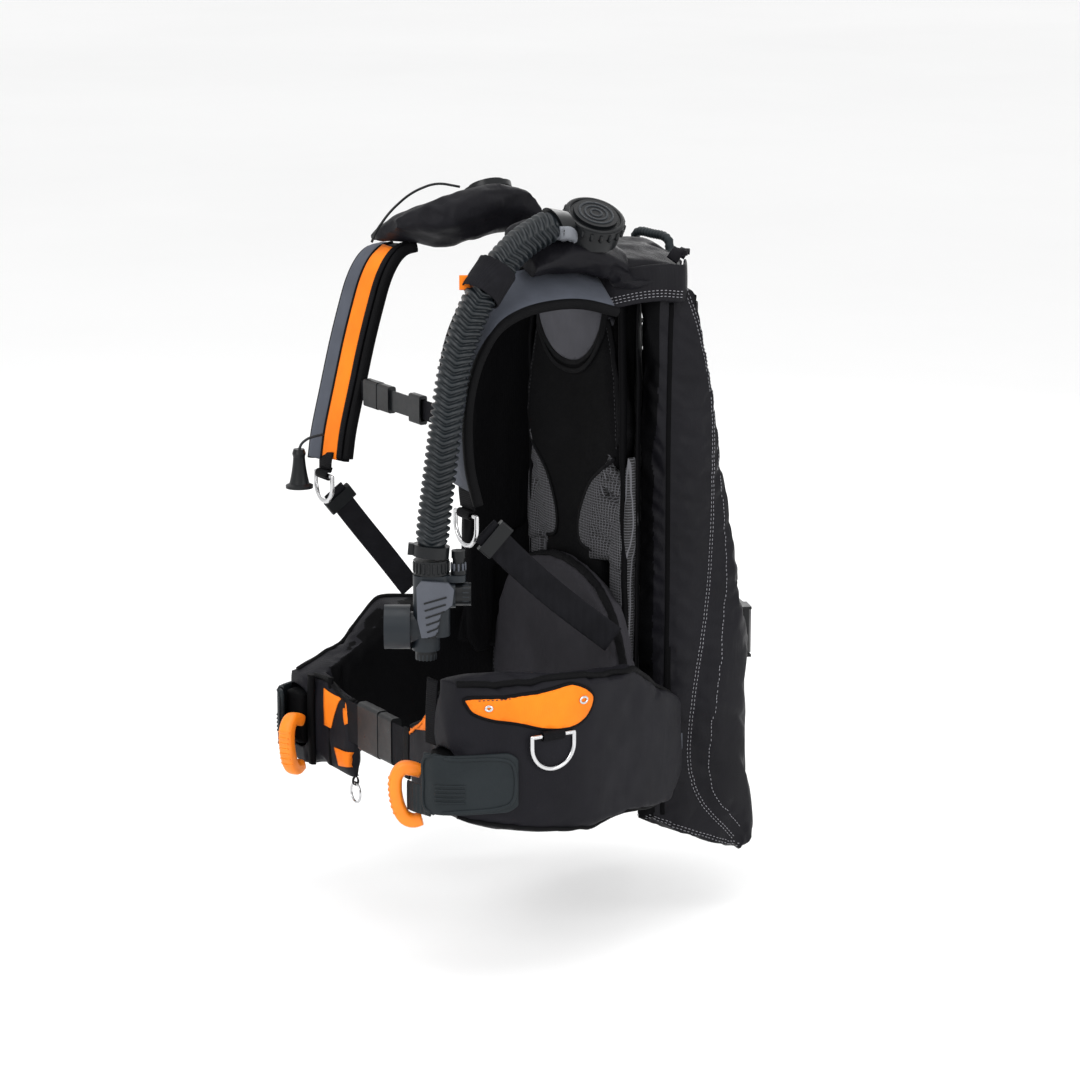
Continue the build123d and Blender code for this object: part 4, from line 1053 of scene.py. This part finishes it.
# spacer mesh that shows beside the lumbar arch, over the back pad and its side mesh
MESH_EDGE = [(94, -130, 224), (99, -130, 190), (101, -130, 150), (100, -130, 104), (78, -130, 106),
             (50, -130, 114), (26, -130, 122), (24, -130, 148), (44, -130, 186), (70, -130, 208)]
front_skin = Skin(back, mesh_pads)
for side, sign in (("left", 1), ("right", -1)):
    patch(f"back-mesh-{side}", front_skin, mirror(MESH_EDGE, sign), -FORWARD, NETTING,
          puffed=0.6, thick=1.0, grid=7)
    binding(f"back-mesh-edge-{side}", front_skin, mirror(MESH_EDGE[5:] + MESH_EDGE[:1], sign), 4, 2.4,
            lift=0.8)

# soft lining, in the darker painted-shade shell, that closes the gap between the right wing's forward flap
# and the lumbar pad
band("flap-lining-right", [(-117, -120, 135), (-124, -134, 90), (-132, -148, 45), (-138, -158, 5),
                           (-140, -164, -28)], Vector((-0.35, -0.94, 0)), 58, 4, SHELL_SHADED, "shell_fabric",
     step=5, wave=1.5)

# ------------------------------------------------------------
# Hose fittings and inflator details


def box_of(node):
    """Corners of a CAD node's box, in millimetres."""
    spots = [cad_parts[node].matrix_world @ Vector(c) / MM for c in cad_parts[node].bound_box]
    return (Vector([min(p[k] for p in spots) for k in range(3)]),
            Vector([max(p[k] for p in spots) for k in range(3)]))


def axes_round(axis):
    """An axis and two directions square to it, all of unit length."""
    axis = Vector(axis).normalized()
    first = axis.orthogonal().normalized()
    return axis, first, axis.cross(first)


def hoop(name, centre, axis, radius, width, thick, mat, body=HARNESS, power=3.0):
    """Plain ring round an axis."""
    axis, first, second = axes_round(axis)
    angles = [2 * pi * k / 32 for k in range(32)]
    ring = [mm(*centre) + (first * cos(a) + second * sin(a)) * radius * MM for a in angles]
    path = flow(ring, 2.0, True)
    return piece(name, skin_mesh(name, path, axis, [oval(width, thick, power, 14)] * len(path), True), mat,
                 body)


def notches(name, centre, axis, radius, count, size, mat, body=HARNESS):
    """Row of small rounded blocks round an axis, as grip ribs."""
    axis, first, second = axes_round(axis)
    wide, tall, deep = size
    verts, faces = [], []
    for k in range(count):
        a = 2 * pi * k / count
        out = first * cos(a) + second * sin(a)
        side = axis.cross(out)
        for v in (-0.5, -0.38, 0.38, 0.5):
            inset = 1 if abs(v) < 0.4 else 0.6
            for u, w in ((-0.5, -0.6), (0.5, -0.6), (0.36, 0.5), (-0.36, 0.5)):
                place_at = out * (radius + w * deep * inset) + side * u * wide * inset + axis * v * tall
                verts.append(mm(*centre) + place_at * MM)
        base = k * 16
        for layer in range(3):
            for c in range(4):
                a0, a1 = base + layer * 4 + c, base + layer * 4 + (c + 1) % 4
                faces.append((a0, a1, a1 + 4, a0 + 4))
        faces.append((base, base + 3, base + 2, base + 1))
        faces.append((base + 12, base + 13, base + 14, base + 15))
    return piece(name, new_mesh(name, verts, faces), mat, body)


VALVE_AT, VALVE_AXIS = Vector((100, -167, 466.5)), Vector((0.5, 0, 0.866)).normalized()
hoop("elbow-cap-rim", VALVE_AT + VALVE_AXIS * 27, VALVE_AXIS, 29.4, 4.6, 4.4, HARD_BLACK)
notches("elbow-cap-slots", VALVE_AT + VALVE_AXIS * 21, VALVE_AXIS, 33.0, 20, (3.8, 8.5, 3.0), HARD_BLACK)
for k, reach in enumerate((6, 12, 18)):
    hoop(f"elbow-cap-ridge-{k}", VALVE_AT + VALVE_AXIS * 31.4, VALVE_AXIS, reach, 1.4, 2.6, HARD_SLATE)

INSERT_SHAPE = [(-17, -8), (-15, 3), (-8, 11), (2, 13), (12, 9), (17, -2), (13, -9), (0, -12)]
half_moon = [Vector((92, -195, 472)) + side_axis * u + UP * v for u, v in INSERT_SHAPE]
elbow_skin = Skin(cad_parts["shoulder_elbow"])
patch("elbow-insert", elbow_skin, half_moon, -TOWARD_VIEW, INSERT_GREY, puffed=1.0,
      thick=1.2, grid=4, spread=4)

nut_low, nut_high = box_of("inflator_nut")
nut_centre = (nut_low + nut_high) / 2
nut_radius = (nut_high.x - nut_low.x) / 2
notches("inflator-nut-ribs", nut_centre, (0, 0, 1), nut_radius - 0.2, 22, (3.0, 11, 1.8), HARD_BLACK)

nipple_low, nipple_high = box_of("supply_nipple")
nipple_centre = (nipple_low + nipple_high) / 2
notches("supply-collar", (nipple_centre.x, nipple_centre.y, nipple_low.z + 8), (0, 0, 1),
        (nipple_high.x - nipple_low.x) / 2 - 0.4, 10, (2.2, 8, 1.6), GRIP_GREY)

for button in ("inflate_button", "deflate_button"):
    low, high = box_of(button)
    sideways = button == "inflate_button"
    axis = side_axis if sideways else UP
    radius = (high.z - low.z) / 2 if sideways else (high.x - low.x) / 2
    reach = (low + high) / 2 + (axis * 5 if sideways else -axis * 5)
    notches(button.replace("_", "-") + "-ribs", reach, axis, radius - 0.4, 16, (1.8, 7, 1.2), HARD_SLATE,
            button)

grip_low, grip_high = box_of("inflator_grip")
grip_skin = Skin(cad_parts["inflator_grip"])
grip_middle = (grip_low + grip_high) / 2
grip_across = UP.cross(TOWARD_VIEW)
for k in range(8):
    z = grip_high.z - 20 - 7.6 * k
    half = 12 - 0.8 * k
    rib = []
    for share in (-1, -0.5, 0, 0.5, 1):
        level = mm(grip_middle.x, grip_middle.y, z + 3.5 * share)
        start = level + grip_across * share * half * MM + TOWARD_VIEW * 30 * MM
        spot, _ = grip_skin.hit(start, -TOWARD_VIEW)
        rib.append(spot)
    binding(f"inflator-grip-rib-{k}", grip_skin, rib, 1.8, 1.6, HARD_BLACK, step=1.5)

# ------------------------------------------------------------
# Hose keeper, folded webbing with an orange pull
keeper_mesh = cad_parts["hose_keeper"].data.copy()
keeper_piece = piece("hose-keeper-web", keeper_mesh, WEB_SIDE, replaces=("hose_keeper",))
rework(keeper_piece, 1.6, 3)
wrinkle(keeper_piece, 0.5, (60, 60, 60), 21)
keeper_piece.data.materials.clear()
keeper_piece.data.materials.append(WEB_SIDE)
keeper_piece.data.shade_smooth()

keeper_low, keeper_high = box_of("hose_keeper")
keeper_middle = (keeper_low + keeper_high) / 2
tab = [keeper_middle - side_axis * 24 + UP * v + TOWARD_VIEW * 4 for v in (7, 0, -8)]
band("keeper-tab", [p * MM for p in tab], side_axis, 13, 4, ORANGE_CLOTH, "orange_fabric", step=2, power=3)

# ------------------------------------------------------------
# Wing front: zip and pull
for side, sign in (("left", 1), ("right", -1)):
    skin = wings[sign]
    zip_line = mirror([(115, -74, 14), (115, -74, -16), (115, -73, -50)], sign)
    binding(f"wing-zip-tape-{side}", skin, zip_line, 7, 1.6, SHELL_SHADED)
    stitch_line(skin, zip_line, pitch=2.4, length=1.2, radius=0.5)
    pull_spot, _ = skin.on(mm(sign * 120, -60, -84), 2.0)
    band(f"wing-zip-pull-{side}", [pull_spot, pull_spot - UP * 9 * MM, pull_spot - UP * 18 * MM],
         Vector((0.4, 0.9, 0)), 4, 1.6, GRIP_GREY, "black_plastic", step=2)

# ------------------------------------------------------------
# CAD pieces that keep their own shape: softened edges and real materials
FINISHES = {HARD_BLACK: ("backpack_plate", "cam_buckle_frame", "cam_lever", "webbing_sliders",
                         "sternum_buckle_socket", "sternum_buckle_plug", "sternum_slider", "shoulder_elbow",
                         "elbow_cap", "shoulder_dump_valve", "rear_dump_valve", "waist_buckle_socket",
                         "waist_buckle_plug", "hose_collar", "inflator_nut", "inflate_button",
                         "deflate_button", "dump_knob", "dump_cable", "supply_nipple"),
            HARD_SLATE: ("inflator_body", "mouthpiece"), GRIP_GREY: ("inflator_grip", "cylinder_grips"),
            STAINLESS: ("shoulder_ring_left", "shoulder_ring_right", "waist_ring_left", "waist_ring_right",
                        "split_ring")}
for finish, names in FINISHES.items():
    for name in names:
        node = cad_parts[name]
        for index in range(len(node.material_slots)):
            node.material_slots[index].material = finish
        edge = node.modifiers.new("edge", "BEVEL")
        edge.width = 0.8 * MM
        edge.segments = 2
        edge.limit_method = "ANGLE"
        edge.angle_limit = radians(35)

# ------------------------------------------------------------
# Stitches, gathered into one piece per colour
for (colour, body), (verts, faces) in stitch_sets.items():
    piece(f"stitches-{colour}", new_mesh("stitches", verts, faces),
          THREAD if colour == "light" else THREAD_DARK, body)
